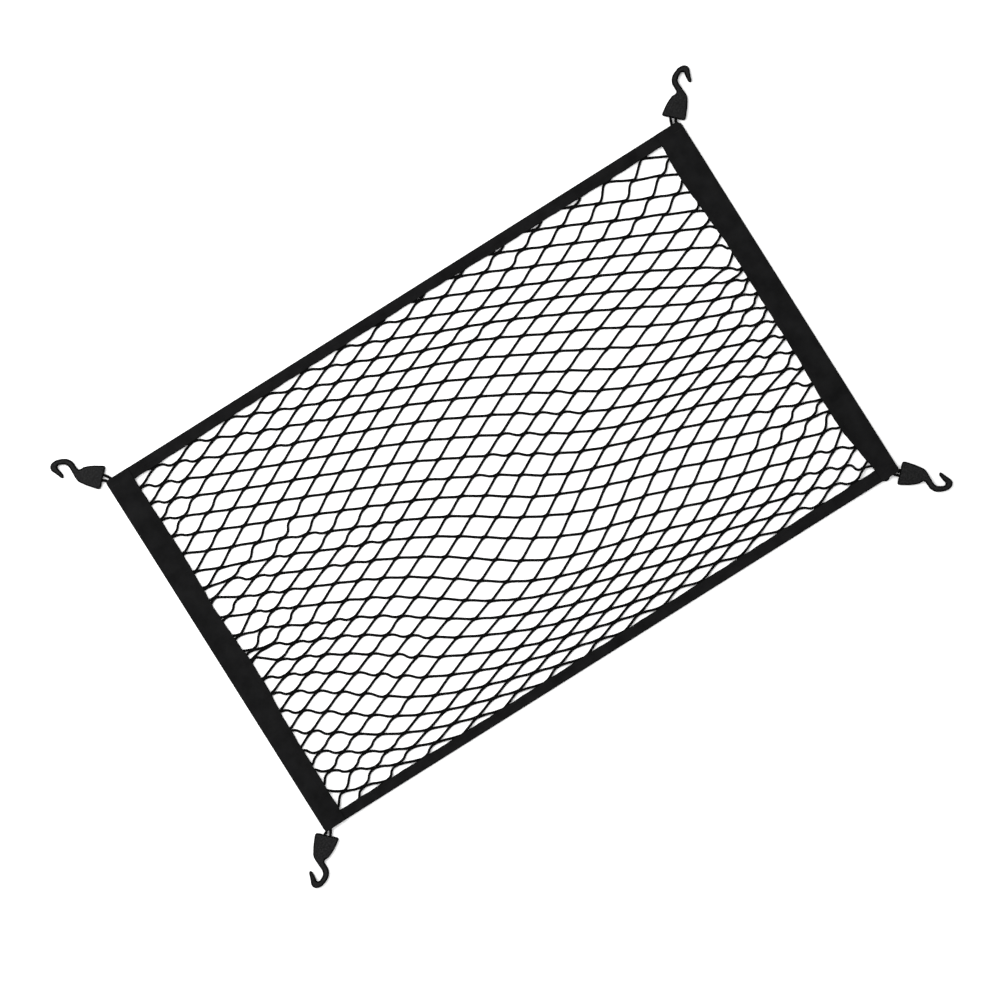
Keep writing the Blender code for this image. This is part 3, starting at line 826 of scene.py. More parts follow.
class GeometryTrees:
    """Node trees for what follows a path, each built once."""

    SUNK: ClassVar[float] = 0.4
    BEAD: ClassVar[dict[str, float]] = {"Segments": 5, "Rings": 5, "Radius": 0.5}

    @staticmethod
    def spaced(sketch: NodeSketch, paths: Any, step: Any) -> bpy.types.NodeSocket:
        """Paths as curves with even steps."""
        lines = sketch.first("GeometryNodeMeshToCurve", {"Mesh": paths})
        return sketch.first("GeometryNodeResampleCurve", {"Curve": lines, "Length": step},
                            mode="LENGTH")

    @staticmethod
    def captured(sketch: NodeSketch, geometry: Any, **kept: tuple[str, Any]) -> Any:
        """Keeps values on a geometry, each with its type and socket, and gives the outputs."""
        node = sketch.add("GeometryNodeCaptureAttribute", {"Geometry": geometry})
        for label, (kind, value) in kept.items():
            node.capture_items.new(kind, label)
            sketch.fill(node, {label: value})
        return node.outputs

    @staticmethod
    def dressed(sketch: NodeSketch, geometry: Any, finish: Any) -> bpy.types.NodeSocket:
        """A geometry realized, smooth and with its material."""
        plain = sketch.first("GeometryNodeRealizeInstances", {"Geometry": geometry})
        smoothed = sketch.first("GeometryNodeSetShadeSmooth", {"Geometry": plain})
        return sketch.first("GeometryNodeSetMaterial", {"Geometry": smoothed, "Material": finish})

    @staticmethod
    @cache
    def cord() -> bpy.types.NodeTree:
        """Turns paths into round cord with raised yarns, and keeps each point's course on it."""
        trees = GeometryTrees
        sketch = NodeSketch.group(
            "cord along paths", "Geometry",
            {"Paths": "Geometry", "Step": "Float", "Radius": "Float", "Sides": "Int",
             "Relief": "Float", "Yarns": "Float", "Pitch": "Float", "Finish": "Material"},
            {"Cord": "Geometry"},
        )
        given = sketch.add("NodeGroupInput").outputs
        spline = sketch.add("GeometryNodeSplineParameter").outputs
        place = sketch.first("GeometryNodeInputPosition")
        lines = trees.captured(
            sketch, trees.spaced(sketch, given["Paths"], given["Step"]),
            run=("FLOAT", spline["Length"]), middle=("VECTOR", place),
        )
        ring = sketch.first("GeometryNodeCurvePrimitiveCircle", {
            "Resolution": given["Sides"], "Radius": given["Radius"],
        })
        profile = trees.captured(sketch, ring, turn=("FLOAT", spline["Factor"]))
        tube = sketch.first("GeometryNodeCurveToMesh", {
            "Curve": lines["Geometry"], "Profile Curve": profile["Geometry"], "Fill Caps": True,
        })
        angle = sketch.times(profile["turn"], TURN)
        crossing = sketch.crossing(sketch.times(angle, given["Yarns"]), lines["run"],
                                   given["Pitch"])
        raised = sketch.math("SUBTRACT", sketch.math("ABSOLUTE", crossing), trees.SUNK)
        swell = sketch.times(raised, given["Relief"])
        away = sketch.first("ShaderNodeVectorMath", {0: place, 1: lines["middle"]},
                            operation="SUBTRACT")
        push = sketch.first("ShaderNodeVectorMath", {0: away, "Scale": swell}, operation="SCALE")
        moved = sketch.first("GeometryNodeSetPosition", {"Geometry": tube, "Offset": push})
        course = sketch.first("ShaderNodeCombineXYZ", {
            0: sketch.math("COSINE", angle), 1: sketch.math("SINE", angle), 2: lines["run"],
        })
        named = sketch.first("GeometryNodeStoreNamedAttribute", {
            "Geometry": moved, "Name": COURSE, "Value": course,
        }, data_type="FLOAT_VECTOR", domain="POINT")
        sketch.add("NodeGroupOutput", {"Cord": trees.dressed(sketch, named, given["Finish"])})
        return sketch.tree

    @staticmethod
    @cache
    def stitches() -> bpy.types.NodeTree:
        """Sets one stitch after another along paths."""
        trees = GeometryTrees
        sketch = NodeSketch.group(
            "stitches along paths", "Geometry",
            {"Paths": "Geometry", "Pitch": "Float", "Stitch": "Float", "Thread": "Float",
             "Finish": "Material"},
            {"Seam": "Geometry"},
        )
        given = sketch.add("NodeGroupInput").outputs
        way = sketch.first("GeometryNodeInputTangent")
        size = sketch.first("ShaderNodeCombineXYZ", {
            0: given["Thread"], 1: given["Thread"], 2: given["Stitch"],
        })
        set_out = sketch.first("GeometryNodeInstanceOnPoints", {
            "Points": trees.spaced(sketch, given["Paths"], given["Pitch"]),
            "Instance": sketch.first("GeometryNodeMeshUVSphere", trees.BEAD),
            "Rotation": sketch.first("FunctionNodeAlignRotationToVector", {"Vector": way},
                                     axis="Z"),
            "Scale": size,
        })
        sketch.add("NodeGroupOutput", {"Seam": trees.dressed(sketch, set_out, given["Finish"])})
        return sketch.tree


def grown(name: str, paths: Sequence[np.ndarray], tree: bpy.types.NodeTree,
          **inputs: Any) -> bpy.types.Mesh:
    """Runs a node tree on paths and gives the plain mesh that it makes.

    Args:
        name: the mesh's name.
        paths: runs of points in millimetres about the net's middle.
        tree: the geometry node tree.
        inputs: the tree's inputs.

    Returns:
        The mesh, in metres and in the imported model's frame.
    """
    starts = np.cumsum([0] + [len(path) for path in paths[:-1]]).tolist()
    edges = [(start + step, start + step + 1)
             for start, path in zip(starts, paths) for step in range(len(path) - 1)]
    lines = make_mesh(f"{name} paths", np.concatenate(paths), edges=edges)
    lines.transform(Matrix.Translation(net_middle()))
    carrier = put(f"{name} paths", lines)
    modifier = carrier.modifiers.new(tree.name, "NODES")
    modifier.node_group = tree
    for item in tree.interface.items_tree:
        if item.in_out == "INPUT" and item.name in inputs:
            modifier[item.identifier] = inputs[item.name]
    made = taken(carrier)
    made.name = name
    bpy.data.meshes.remove(lines)
    return made


# --- Net ---


@dataclass
class DiamondNet:
    """The knotless mesh: each strand runs along X and touches its two neighbours in turn."""

    mesh_long: float = 65.4
    mesh_short: float = 28.16
    lattice_x: float = -0.1
    lattice_y: float = -0.9
    strand: float = 3.9
    strand_height: float = 3.1
    joint: float = 3.0
    joint_offset: float = 0.85
    bar_cord: float = 31.6
    give: float = 0.5
    tautest: float = 1.002
    turn_in: float = 0.5
    taut_hold: float = 16.0
    hump: float = 1.6
    full_hump_at: float = 0.15
    columns: int = 17
    rows: int = 23
    third_at: int = 7
    end_limit: float = 480.0
    side_limit: float = 299.5
    shortest_run: int = 3
    samples: int = 12
    halvings: int = 18
    step: float = 1.5
    sides: int = 8
    relief: float = 0.14
    yarns: float = 1.0
    yarn_steps: float = 4.0
    seed: int = 11
    slides: tuple[Slide, ...] = SLIDES + TUGS
    slacks: tuple[Slack, ...] = SLACKS
    slack_spread: ClassVar[tuple[float, float]] = (0.5, 1.5)
    spare_spread: ClassVar[tuple[float, float]] = (-0.01, 0.03)
    pull_limits: ClassVar[tuple[float, float]] = (0.3, 2.0)
    held_by: ClassVar[dict[str, tuple[str, ...]]] = {
        "front": ("end_tape_left", "end_tape_right", "side_tape_front"),
        "middle": ("end_tape_left", "end_tape_right"),
        "back": ("end_tape_left", "end_tape_right", "side_tape_back"),
    }

    def knots(self, u: np.ndarray, v: np.ndarray) -> np.ndarray:
        """Where knots lie in the slack net.

        Args:
            u: half meshes along X from the middle.
            v: half meshes along Y from the middle.

        Returns:
            X and Y of each knot, in millimetres.
        """
        x = u * self.mesh_long / 2 + self.lattice_x
        y = v * self.mesh_short / 2 + self.lattice_y
        for slide in self.slides:
            near = nearness(slide, u, v)
            x = x + slide.along_x * near
            y = y + slide.along_y * near
        return np.stack([x, y], axis=-1)

    def spare(self, u: np.ndarray, v: np.ndarray) -> np.ndarray:
        """The share of spare cord in the bars at a place in the net."""
        return sum(slack.spare * nearness(slack, u, v) for slack in self.slacks)

    def joint_ways(self, u: np.ndarray, v: np.ndarray) -> np.ndarray:
        """The way along which two strands run joined at each knot, led by the tauter bars.

        Args:
            u: half meshes along X from the middle.
            v: half meshes along Y from the middle.

        Returns:
            One unit vector a knot, pointing to +X.
        """
        here = self.knots(u, v)
        even = math.hypot(self.mesh_long, self.mesh_short) / 2
        total = np.zeros_like(here)
        for side in (-1, 1):
            for level in (-1, 1):
                bar = (self.knots(u + side, v + level) - here) * side
                long = np.linalg.norm(bar, axis=-1, keepdims=True)
                total += bar / long * np.exp(self.taut_hold * (long / even - 1))
        return total / np.linalg.norm(total, axis=-1, keepdims=True)

    def bars(self, start: np.ndarray, end: np.ndarray, way_in: np.ndarray, way_out: np.ndarray,
             cord: np.ndarray) -> np.ndarray:
        """Curves of given length from joint to joint, which leave each joint along its way.

        Args:
            start: where each bar starts.
            end: where each bar ends.
            way_in: the way in which it sets out.
            way_out: the way in which it arrives.
            cord: the length of cord in each bar.

        Returns:
            The points of each bar, without its last one.
        """
        t = np.linspace(0, 1, self.samples + 1)[None, :, None]
        chord = np.linalg.norm(end - start, axis=1)
        straight = (end - start) / chord[:, None]
        way_in = self.between(way_in, straight)
        way_out = self.between(way_out, straight)
        low, high = (np.full(len(chord), limit) for limit in self.pull_limits)
        rise, fall = t * t * (3 - 2 * t), 1 - t * t * (3 - 2 * t)
        leave, arrive = t * (1 - t) ** 2, t * t * (t - 1)
        for _ in range(self.halvings):
            pull = (low + high) / 2
            reach = (pull * chord)[:, None, None]
            points = (fall * start[:, None] + rise * end[:, None]
                      + reach * (leave * way_in[:, None] + arrive * way_out[:, None]))
            long = np.linalg.norm(np.diff(points, axis=1), axis=2).sum(axis=1)
            low, high = np.where(long < cord, pull, low), np.where(long < cord, high, pull)
        return points[:, :-1]

    def between(self, way: np.ndarray, straight: np.ndarray) -> np.ndarray:
        """The ways that lie part of the turn from a bar's straight line to its joint's way."""
        ways = straight + self.turn_in * (way - straight)
        return ways / np.linalg.norm(ways, axis=1, keepdims=True)

    def row(self, index: int, chance: np.random.Generator) -> np.ndarray:
        """The path of one strand from end to end.

        Args:
            index: the row, which runs between this knot level and the next.
            chance: seeded source of small differences.

        Returns:
            Points in millimetres, with the strand's middle at z = 0 where it lies flat.
        """
        u = np.arange(-self.columns, self.columns + 1)
        above = (u + index) % 2 == 0
        v = index + above.astype(int)
        way = self.joint_ways(u, v)
        normal = np.stack([-way[:, 1], way[:, 0]], axis=1)
        lean = np.where(above, -1.0, 1.0)[:, None] * self.joint_offset
        knots = self.knots(u, v) + normal * lean
        into, out_of = knots - way * self.joint / 2, knots + way * self.joint / 2
        spare = self.spare((u[:-1] + u[1:]) / 2, (v[:-1] + v[1:]) / 2)
        spare = (spare * chance.uniform(*self.slack_spread, len(spare))
                 + chance.uniform(*self.spare_spread, len(spare)))
        chord = np.linalg.norm(into[1:] - out_of[:-1], axis=1)
        excess = self.give * np.maximum(self.bar_cord * (1 + spare) / chord - 1, 0)
        bars = self.bars(out_of[:-1], into[1:], way[:-1], way[1:], chord * (self.tautest + excess))
        arch = np.sin(np.linspace(0, math.pi, self.samples + 1)[:-1])
        heights = self.hump * np.minimum(excess / self.full_hump_at, 1)[:, None] * arch
        raised = np.concatenate([bars, heights[:, :, None]], axis=2)
        first, last = (np.append(spot, 0.0)[None] for spot in (into[0], into[-1]))
        return np.concatenate([first, *raised, last])

    def kept(self, path: np.ndarray) -> list[np.ndarray]:
        """The runs of a path that lie inside the folds' reach."""
        inside = (np.abs(path[:, 0]) < self.end_limit) & (np.abs(path[:, 1]) < self.side_limit)
        cuts = np.flatnonzero(np.diff(inside.astype(int))) + 1
        runs = np.split(np.arange(len(path)), cuts)
        return [path[run] for run in runs if inside[run[0]] and len(run) > self.shortest_run]

    def lay(self, mesh: bpy.types.Mesh) -> None:
        """Lays the flat net on the surface and lifts its rim into the folds."""
        points = np.zeros(len(mesh.vertices) * 3)
        mesh.vertices.foreach_get("co", points)
        points = points.reshape(-1, 3)
        middle = np.array(net_middle())
        x, y = ((points[:, axis] - middle[axis]) / MM for axis in (0, 1))
        lower, upper = net_layer(x, y)
        share = (points[:, 2] / MM + self.strand / 2) / self.strand
        height = lower + share * (upper - lower) * self.strand_height / NET_THICKNESS
        points[:, 2] = height * MM
        mesh.vertices.foreach_set("co", points.ravel())
        mesh.update()

    @property
    def edge_level(self) -> float:
        """The knot level at which the net ends under a side band."""
        return self.side_limit / (self.mesh_short / 2)

    def build(self, finish: bpy.types.Material) -> list[bpy.types.Object]:
        """Builds the net in three lengthwise parts.

        Args:
            finish: the strands' material.

        Returns:
            The three pieces.
        """
        chance = np.random.default_rng(self.seed)
        rows = {index: self.row(index, chance) for index in range(-self.rows, self.rows)}
        limits = (-self.rows, -self.third_at, self.third_at, self.rows)
        pieces = []
        for name, first, last in zip(("front", "middle", "back"), limits, limits[1:]):
            paths = [run for index in range(first, last) for run in self.kept(rows[index])]
            mesh = grown(
                f"net_strands_{name}", paths, GeometryTrees.cord(), Step=self.step * MM,
                Radius=self.strand / 2 * MM, Sides=self.sides, Relief=self.relief,
                Yarns=self.yarns, Pitch=self.step * self.yarn_steps * MM, Finish=finish,
            )
            self.lay(mesh)
            piece = settle(mesh.name, mesh, finish, Slot.STRAND, "net_panel")
            pieces.append(piece)
        return pieces


# --- Bands ---


class BandKind(Enum):
    """The two tapes that bind the net."""

    END = (END_TAPE, END_BAND_WIDTH, NET_WIDTH / 2, NET_WIDTH / 2 - SEAM_END, (2.4, 7.4))
    SIDE = (SIDE_TAPE, SIDE_BAND_WIDTH, SIDE_BAND_END, FIELD_X + SEAM_END, (2.2, 5.8))

    def __init__(self, tape: float, width: float, half_length: float, seam_reach: float,
                 seams: tuple[float, float]) -> None:
        """Notes a tape's sizes.

        Args:
            tape: its thickness.
            width: the folded band's width.
            half_length: half the band's length.
            seam_reach: how far the stitch rows run from the middle.
            seams: the stitch rows' distances from the inner edge.
        """
        self.tape, self.width, self.half_length = tape, width, half_length
        self.seam_reach, self.seams = seam_reach, seams


@dataclass
class BoundEdge:
    """A tape folded along its length over one edge of the net, sewn near its inner edge."""

    name: str
    kind: BandKind
    side: int
    seed: int
    pulls: tuple[Pull, ...]
    nicks: tuple[Nick, ...] = ()
    station: float = 2.6
    top_points: int = 22
    low_points: int = 9
    bend_points: int = 9
    seam_depth: float = 0.42
    seam_width: float = 1.0
    seam_pitch: float = 4.2
    seam_evenness: float = 0.65
    upper_sunk: float = 0.55
    lower_sunk: float = 0.75
    thread_proud: float = 0.1
    ripple: float = 0.25
    ripple_phase: float = 6.0
    crown: float = 0.3
    crown_limit: float = 0.12
    crown_wave: float = 31.0
    edge_bulge: float = 0.35
    sharp_from: float = 50.0
    ripples: ClassVar[tuple[float, ...]] = (41.0, 23.0, 13.0)

    def thickness(self, along: np.ndarray) -> np.ndarray:
        """The fold's whole thickness at places along the band."""
        if self.kind is BandKind.END:
            return end_band_thickness(along)
        return np.full_like(along, SIDE_BAND_THICKNESS, dtype=float)

    def lift(self, along: np.ndarray) -> np.ndarray:
        """How far the band is lifted off the surface."""
        return side_band_rise(along) * (self.kind is BandKind.SIDE)

    def stations(self, reach: float) -> np.ndarray:
        """Even places along the band, as far as a reach from its middle."""
        return np.linspace(-reach, reach, max(2, round(2 * reach / self.station)) + 1)

    def inner_edge(self, along: np.ndarray) -> np.ndarray:
        """The band's width at places along it, with the small waves that sewing leaves."""
        chance = np.random.default_rng(self.seed)
        width = self.kind.width + pulled(self.pulls, along)
        for order, wave in enumerate(self.ripples):
            phase = chance.uniform(0, self.ripple_phase)
            width += self.ripple / (1 + order) * np.sin(TURN * along / wave + phase)
        return width

    def settled(self, along: np.ndarray, from_edge: np.ndarray) -> np.ndarray:
        """How far the tape is drawn down by the seams, at a distance from its inner edge."""
        waves = np.cos(TURN * along / self.seam_pitch)
        tug = self.seam_evenness + (1 - self.seam_evenness) * waves
        drawn = sum(tug * np.exp(-((from_edge - seam) / self.seam_width) ** 2)
                    for seam in self.kind.seams)
        return self.seam_depth * np.minimum(drawn, 1.0)

    def lay(self, along: np.ndarray, inward: np.ndarray, height: np.ndarray) -> np.ndarray:
        """Places on the band as points about the net's middle, in millimetres.

        Args:
            along: the places along the band.
            inward: the distances in from the folded edge.
            height: the heights above the surface.

        Returns:
            The points.
        """
        drawn = np.zeros_like(along, dtype=float)
        for nick in self.nicks:
            drawn += nick.inward * np.exp(-((along - nick.along) / nick.reach) ** 4)
        inward = drawn + inward * (1 - drawn / self.kind.width)
        along = along + 0 * inward
        if self.kind is BandKind.END:
            return np.stack([self.side * (NET_LENGTH / 2 - inward), along, height], axis=-1)
        return np.stack([along, self.side * (NET_WIDTH / 2 - inward), height], axis=-1)

    def section(self, along: np.ndarray) -> tuple[np.ndarray, np.ndarray]:
        """The tape's outer face across the fold, from its lower to its upper edge.

        Args:
            along: the stations.

        Returns:
            Distance in from the fold and height, and the way across the tape, a row a station.
        """
        width = self.inner_edge(along)[:, None]
        thick = self.thickness(along)[:, None]
        bend = thick / 2
        angles = np.linspace(0, math.pi, self.bend_points)[None, :]
        low_in = width + (bend - width) * np.linspace(0, 1, self.low_points)[None, :-1]
        top_in = bend + (width - bend) * np.linspace(0, 1, self.top_points)[None, 1:]
        places = along[:, None]
        low_up = self.settled(places, width - low_in)
        arch = np.sin(math.pi * np.clip((width - top_in) / width, 0, 1))
        crown = self.crown * arch * np.sin(places / self.crown_wave)
        top_up = (thick - self.settled(places, width - top_in)
                  + np.minimum(crown, self.crown_limit))
        inward = np.concatenate([low_in, bend - bend * np.sin(angles), top_in], axis=1)
        height = np.concatenate([low_up, bend - bend * np.cos(angles), top_up], axis=1)
        steps = np.hypot(np.diff(inward, axis=1), np.diff(height, axis=1))
        across = np.concatenate([np.zeros_like(width), np.cumsum(steps, axis=1)], axis=1)
        height = height + self.lift(along)[:, None]
        return np.stack([inward, height], axis=-1), across

    def shell(self) -> bpy.types.Mesh:
        """The whole folded tape with its thickness and its rounded edges."""
        along = self.stations(self.kind.half_length)
        outer, across = self.section(along)
        run = np.gradient(outer, axis=1)
        run /= np.linalg.norm(run, axis=-1, keepdims=True)
        inner = outer + np.stack([run[..., 1], -run[..., 0]], axis=-1) * self.kind.tape
        middle, bulge = (outer + inner) / 2, self.edge_bulge * self.kind.tape
        first = middle[:, :1] - run[:, :1] * bulge
        last = middle[:, -1:] + run[:, -1:] * bulge
        ring = np.concatenate([outer, last, inner[:, ::-1], first], axis=1)
        ring_across = np.concatenate(
            [across, across[:, -1:], across[:, ::-1], across[:, :1]], axis=1)
        points = self.lay(along[:, None], ring[..., 0], ring[..., 1])
        rings, around = ring_across.shape
        layer = outer.shape[1]
        cap = [(spot, spot + 1, around - 3 - spot, around - 2 - spot)
               for spot in range(layer - 1)]
        cap += [(layer - 1, layer, layer + 1), (0, around - 2, around - 1)]
        faces = ring_faces(rings, around)
        for base, turn in ((0, -1), ((rings - 1) * around, 1)):
            faces += [tuple(base + spot for spot in face[::turn]) for face in cap]
        mesh = make_mesh(self.name, points.reshape(-1, 3), faces)
        mesh.transform(Matrix.Translation(net_middle()))
        flat = np.stack([ring_across, along[:, None] + 0 * ring_across], axis=-1)
        corners = np.zeros(len(mesh.loops), dtype=int)
        mesh.loops.foreach_get("vertex_index", corners)
        uv = mesh.uv_layers.new(name=TAPE_UV)
        uv.data.foreach_set("uv", (flat.reshape(-1, 2) * MM)[corners].ravel())
        with edited(mesh) as form:
            bmesh.ops.recalc_face_normals(form, faces=form.faces)
        mesh.shade_smooth()
        mesh.set_sharp_from_angle(angle=math.radians(self.sharp_from))
        return mesh

    def seam_paths(self, thread: float) -> list[np.ndarray]:
        """The stitch rows on the upper and the lower face of the band.

        Args:
            thread: the thread's thickness, in millimetres.

        Returns:
            One run of points a row, at the middle of the thread.
        """
        along = self.stations(self.kind.seam_reach)
        lift, proud = self.lift(along), thread * self.thread_proud
        upper = self.thickness(along) - self.seam_depth * self.upper_sunk + lift + proud
        lower = self.seam_depth * self.lower_sunk + lift - proud
        return [self.lay(along, self.inner_edge(along) - seam, height)
                for seam in self.kind.seams for height in (upper, lower)]

    def build(self, finish: bpy.types.Material) -> bpy.types.Object:
        """Builds the band in place of its solid."""
        node = self.name.replace("_tape", "_band")
        return settle(self.name, self.shell(), finish, Slot.WEBBING, node)

    def declare(self, tape: bpy.types.Object, seam: bpy.types.Object,
                net: Sequence[bpy.types.Object]) -> None:
        """States the size that the tape was cut to before it was folded over the net.

        Args:
            tape: the finished band; not used.
            seam: its stitches; not used.
            net: the parts of the net that lie in its fold; not used.
        """
        bend = float(self.thickness(np.zeros(1))[0]) / 2


def band_edges() -> list[BoundEdge]:
    """The four bound edges of the net."""
    return [
        BoundEdge("end_tape_left", BandKind.END, -1, 3, LEFT_PULLS, LEFT_NICKS),
        BoundEdge("end_tape_right", BandKind.END, 1, 4, RIGHT_PULLS, RIGHT_NICKS),
        BoundEdge("side_tape_front", BandKind.SIDE, -1, 5, FRONT_PULLS, FRONT_NICKS),
        BoundEdge("side_tape_back", BandKind.SIDE, 1, 6, BACK_PULLS),
    ]


@dataclass
class Sewing:
    """The lockstitch rows of the bands and the bar tacks that hold the cord loops."""

    thread: float = 0.62
    stitch: float = 3.5
    pitch: float = 4.2
    tack_length: float = 13.0
    tack_width: float = 2.6
    tack_step: float = 0.62
    tack_thread: float = 0.5
    tack_spacing: float = 0.65
    tack_sides: int = 6
    tack_from: float = 4.0
    tack_in: float = 13.0
    tack_lift: float = 0.02

    def tack_path(self, corner: Corner) -> np.ndarray:
        """The zigzag of one bar tack, across the open end of an end band."""
        steps = np.arange(round(self.tack_length / self.tack_step) + 1)
        swing = np.where(steps % 2 == 0, -0.5, 0.5) * self.tack_width
        x = NET_LENGTH / 2 - self.tack_from - steps * self.tack_step
        y = NET_WIDTH / 2 - self.tack_in + swing
        height = np.full(len(steps), CORNER_THICKNESS + self.tack_lift)
        return np.stack([corner.side_x * x, corner.side_y * y, height], axis=1)

    def build(self, edges: Sequence[BoundEdge],
              finish: bpy.types.Material) -> list[bpy.types.Object]:
        """Builds the stitches of each band, and the bar tacks.

        Args:
            edges: the bound edges.
            finish: the thread's material.

        Returns:
            The pieces of thread.
        """
        meshes = [
            grown(
                edge.name.replace("tape", "seam"), edge.seam_paths(self.thread),
                GeometryTrees.stitches(), Pitch=self.pitch * MM, Stitch=self.stitch * MM,
                Thread=self.thread * MM, Finish=finish,
            )
            for edge in edges
        ]
        meshes.append(grown(
            "bar_tacks", [self.tack_path(corner) for corner in CORNERS], GeometryTrees.cord(),
            Step=self.tack_spacing * MM, Radius=self.tack_thread / 2 * MM, Sides=self.tack_sides,
            Relief=0.0, Yarns=1.0, Pitch=MM, Finish=finish,
        ))
        return [settle(mesh.name, mesh, finish, Slot.WEBBING) for mesh in meshes]


# --- Corners ---


@dataclass
class MouldedHook:
    """A flat moulded hook: an arrow-shaped body, a rounded hook, and a socket for the cord."""

    thickness: float = CORNER_THICKNESS
    body_round: float = 3.0
    hook_round: float = 3.5
    hook_from_x: float = 20.0
    hook_blend_x: float = 4.0
    hook_from_y: float = 24.0
    hook_blend_y: float = 12.0
    curve_steps: int = 14
    spacing: float = 0.8
    softened: int = 3
    side_on: float = 0.12
    filled: float = 0.8
    bend_rings: int = 6
    socket_width: float = 16.8
    socket_height: float = 5.2
    socket_lead: float = 5.0
    socket_round: float = 1.2
    sharp_from: float = 38.0

    def outline(self) -> np.ndarray:
        """The hook's outline as close points, anticlockwise."""
        curve = bpy.data.curves.new("hook outline", "CURVE")
        curve.dimensions = "2D"
        curve.fill_mode = "NONE"
        curve.resolution_u = self.curve_steps
        spline = curve.splines.new("BEZIER")
        spline.bezier_points.add(len(HOOK_OUTLINE) - 1)
        for spot, row in zip(spline.bezier_points, HOOK_OUTLINE):
            spot.co = (row.x, row.y, 0)
            spot.handle_left_type = spot.handle_right_type = "VECTOR" if row.sharp else "AUTO"
        spline.use_cyclic_u = True
        mesh = taken(put("hook outline", curve))
        closed = np.array([spot.co[:2] for spot in (*mesh.vertices, mesh.vertices[0])])
        bpy.data.meshes.remove(mesh)
        along = np.append(0, np.cumsum(np.linalg.norm(np.diff(closed, axis=0), axis=1)))
        places = np.linspace(0, along[-1], round(along[-1] / self.spacing), endpoint=False)
        line = np.stack([np.interp(places, along, part) for part in closed.T], axis=1)
        for _ in range(self.softened):
            line = (np.roll(line, 1, axis=0) + 2 * line + np.roll(line, -1, axis=0)) / 4
        return line

    def room(self, line: np.ndarray, inward: np.ndarray) -> np.ndarray:
        """How far each point of the outline can move in before it meets another side.

        Args:
            line: the outline's points.
            inward: the way in at each point.

        Returns:
            The radius of the widest round that fits inside the outline at each point.
        """
        apart = line[None, :, :] - line[:, None, :]
        ahead = (apart * inward[:, None, :]).sum(axis=2)
        reach = np.linalg.norm(apart, axis=2)
        faces_in = ahead > self.side_on * reach
        radius = np.where(faces_in, reach ** 2 / (2 * np.where(faces_in, ahead, 1.0)), np.inf)
        return radius.min(axis=1)

    def form(self) -> bpy.types.Mesh:
        """The hook for the corner at +X +Y, level about its own middle, in metres."""
        line = self.outline()
        run = np.roll(line, -2, axis=0) - np.roll(line, 2, axis=0)
        run /= np.linalg.norm(run, axis=1, keepdims=True)
        inward = np.stack([-run[:, 1], run[:, 0]], axis=1)
        far = (smooth((line[:, 1] - self.hook_from_y) / self.hook_blend_y)
               * smooth((line[:, 0] - self.hook_from_x) / self.hook_blend_x))
        round_by = self.body_round + (self.hook_round - self.body_round) * far
        most_in = np.minimum(round_by, self.filled * self.room(line, inward))
        rings = []
        for turn in np.linspace(0, math.pi / 2, self.bend_rings):
            inset = most_in * (1 - math.sin(turn))
            drop = round_by * (1 - math.cos(turn))
            spots = line + inward * inset[:, None]
            rings.append(np.column_stack([spots, drop - self.thickness / 2]))
        rings += [ring * (1, 1, -1) for ring in rings[::-1]]
        count = len(line)
        faces = ring_faces(len(rings), count)
        faces.append(tuple(range(count))[::-1])
        faces.append(tuple((len(rings) - 1) * count + spot for spot in range(count)))
        return self.with_socket(make_mesh("hook form", np.concatenate(rings), faces))

    def with_socket(self, mesh: bpy.types.Mesh) -> bpy.types.Mesh:
        """Cuts the socket for the cord loop into the base."""
        hook = put("hook form", mesh)
        tool = bpy.data.meshes.new("socket")
        place = (OUT * (SOCKET_DEPTH - self.socket_lead) / 2
                 + ACROSS * (LEG_OUTER + LEG_INNER) / 2)
        size = (SOCKET_DEPTH + self.socket_lead, self.socket_width, self.socket_height)
        with edited(tool) as form:
            bmesh.ops.create_cube(form, size=1.0)
            form.transform(
                Matrix.Translation(Vector((*place, 0)) * MM)
                @ Matrix.Rotation(math.radians(45), 4, "Z")
                @ Matrix.Diagonal((*(part * MM for part in size), 1))
            )
            bmesh.ops.bevel(form, geom=form.edges[:], offset=self.socket_round * MM, segments=3,
                            affect="EDGES", profile=0.5)
        cutter = put("socket", tool)
        cut = hook.modifiers.new("socket", "BOOLEAN")
        cut.operation = "DIFFERENCE"
        cut.object = cutter
        made = taken(hook)
        bpy.data.objects.remove(cutter)
        with edited(made) as form:
            bmesh.ops.remove_doubles(form, verts=form.verts, dist=MERGED)
            wide = [face for face in form.faces if len(face.verts) > 4]
            bmesh.ops.triangulate(form, faces=wide)
            bmesh.ops.recalc_face_normals(form, faces=form.faces)
        return made

    def build(self, finish: bpy.types.Material) -> None:
        """Builds the four hooks in place of their solids."""
        form = self.form()
        for corner in CORNERS:
            mesh = form.copy()
            place = Vector((corner.side_x * corner.base_x, corner.side_y * corner.base_y,
                            self.thickness / 2)) * MM
            turn = (Matrix.Rotation(math.pi, 4, corner.turn_axis) if corner.turn_axis
                    else Matrix.Identity(4))
            mesh.transform(Matrix.Translation(place + net_middle()) @ turn)
            mesh.shade_smooth()
            mesh.set_sharp_from_angle(angle=math.radians(self.sharp_from))
            settle(f"moulded_hook_{corner.name}", mesh, finish, Slot.PLASTIC,
                   f"hook_{corner.name}")


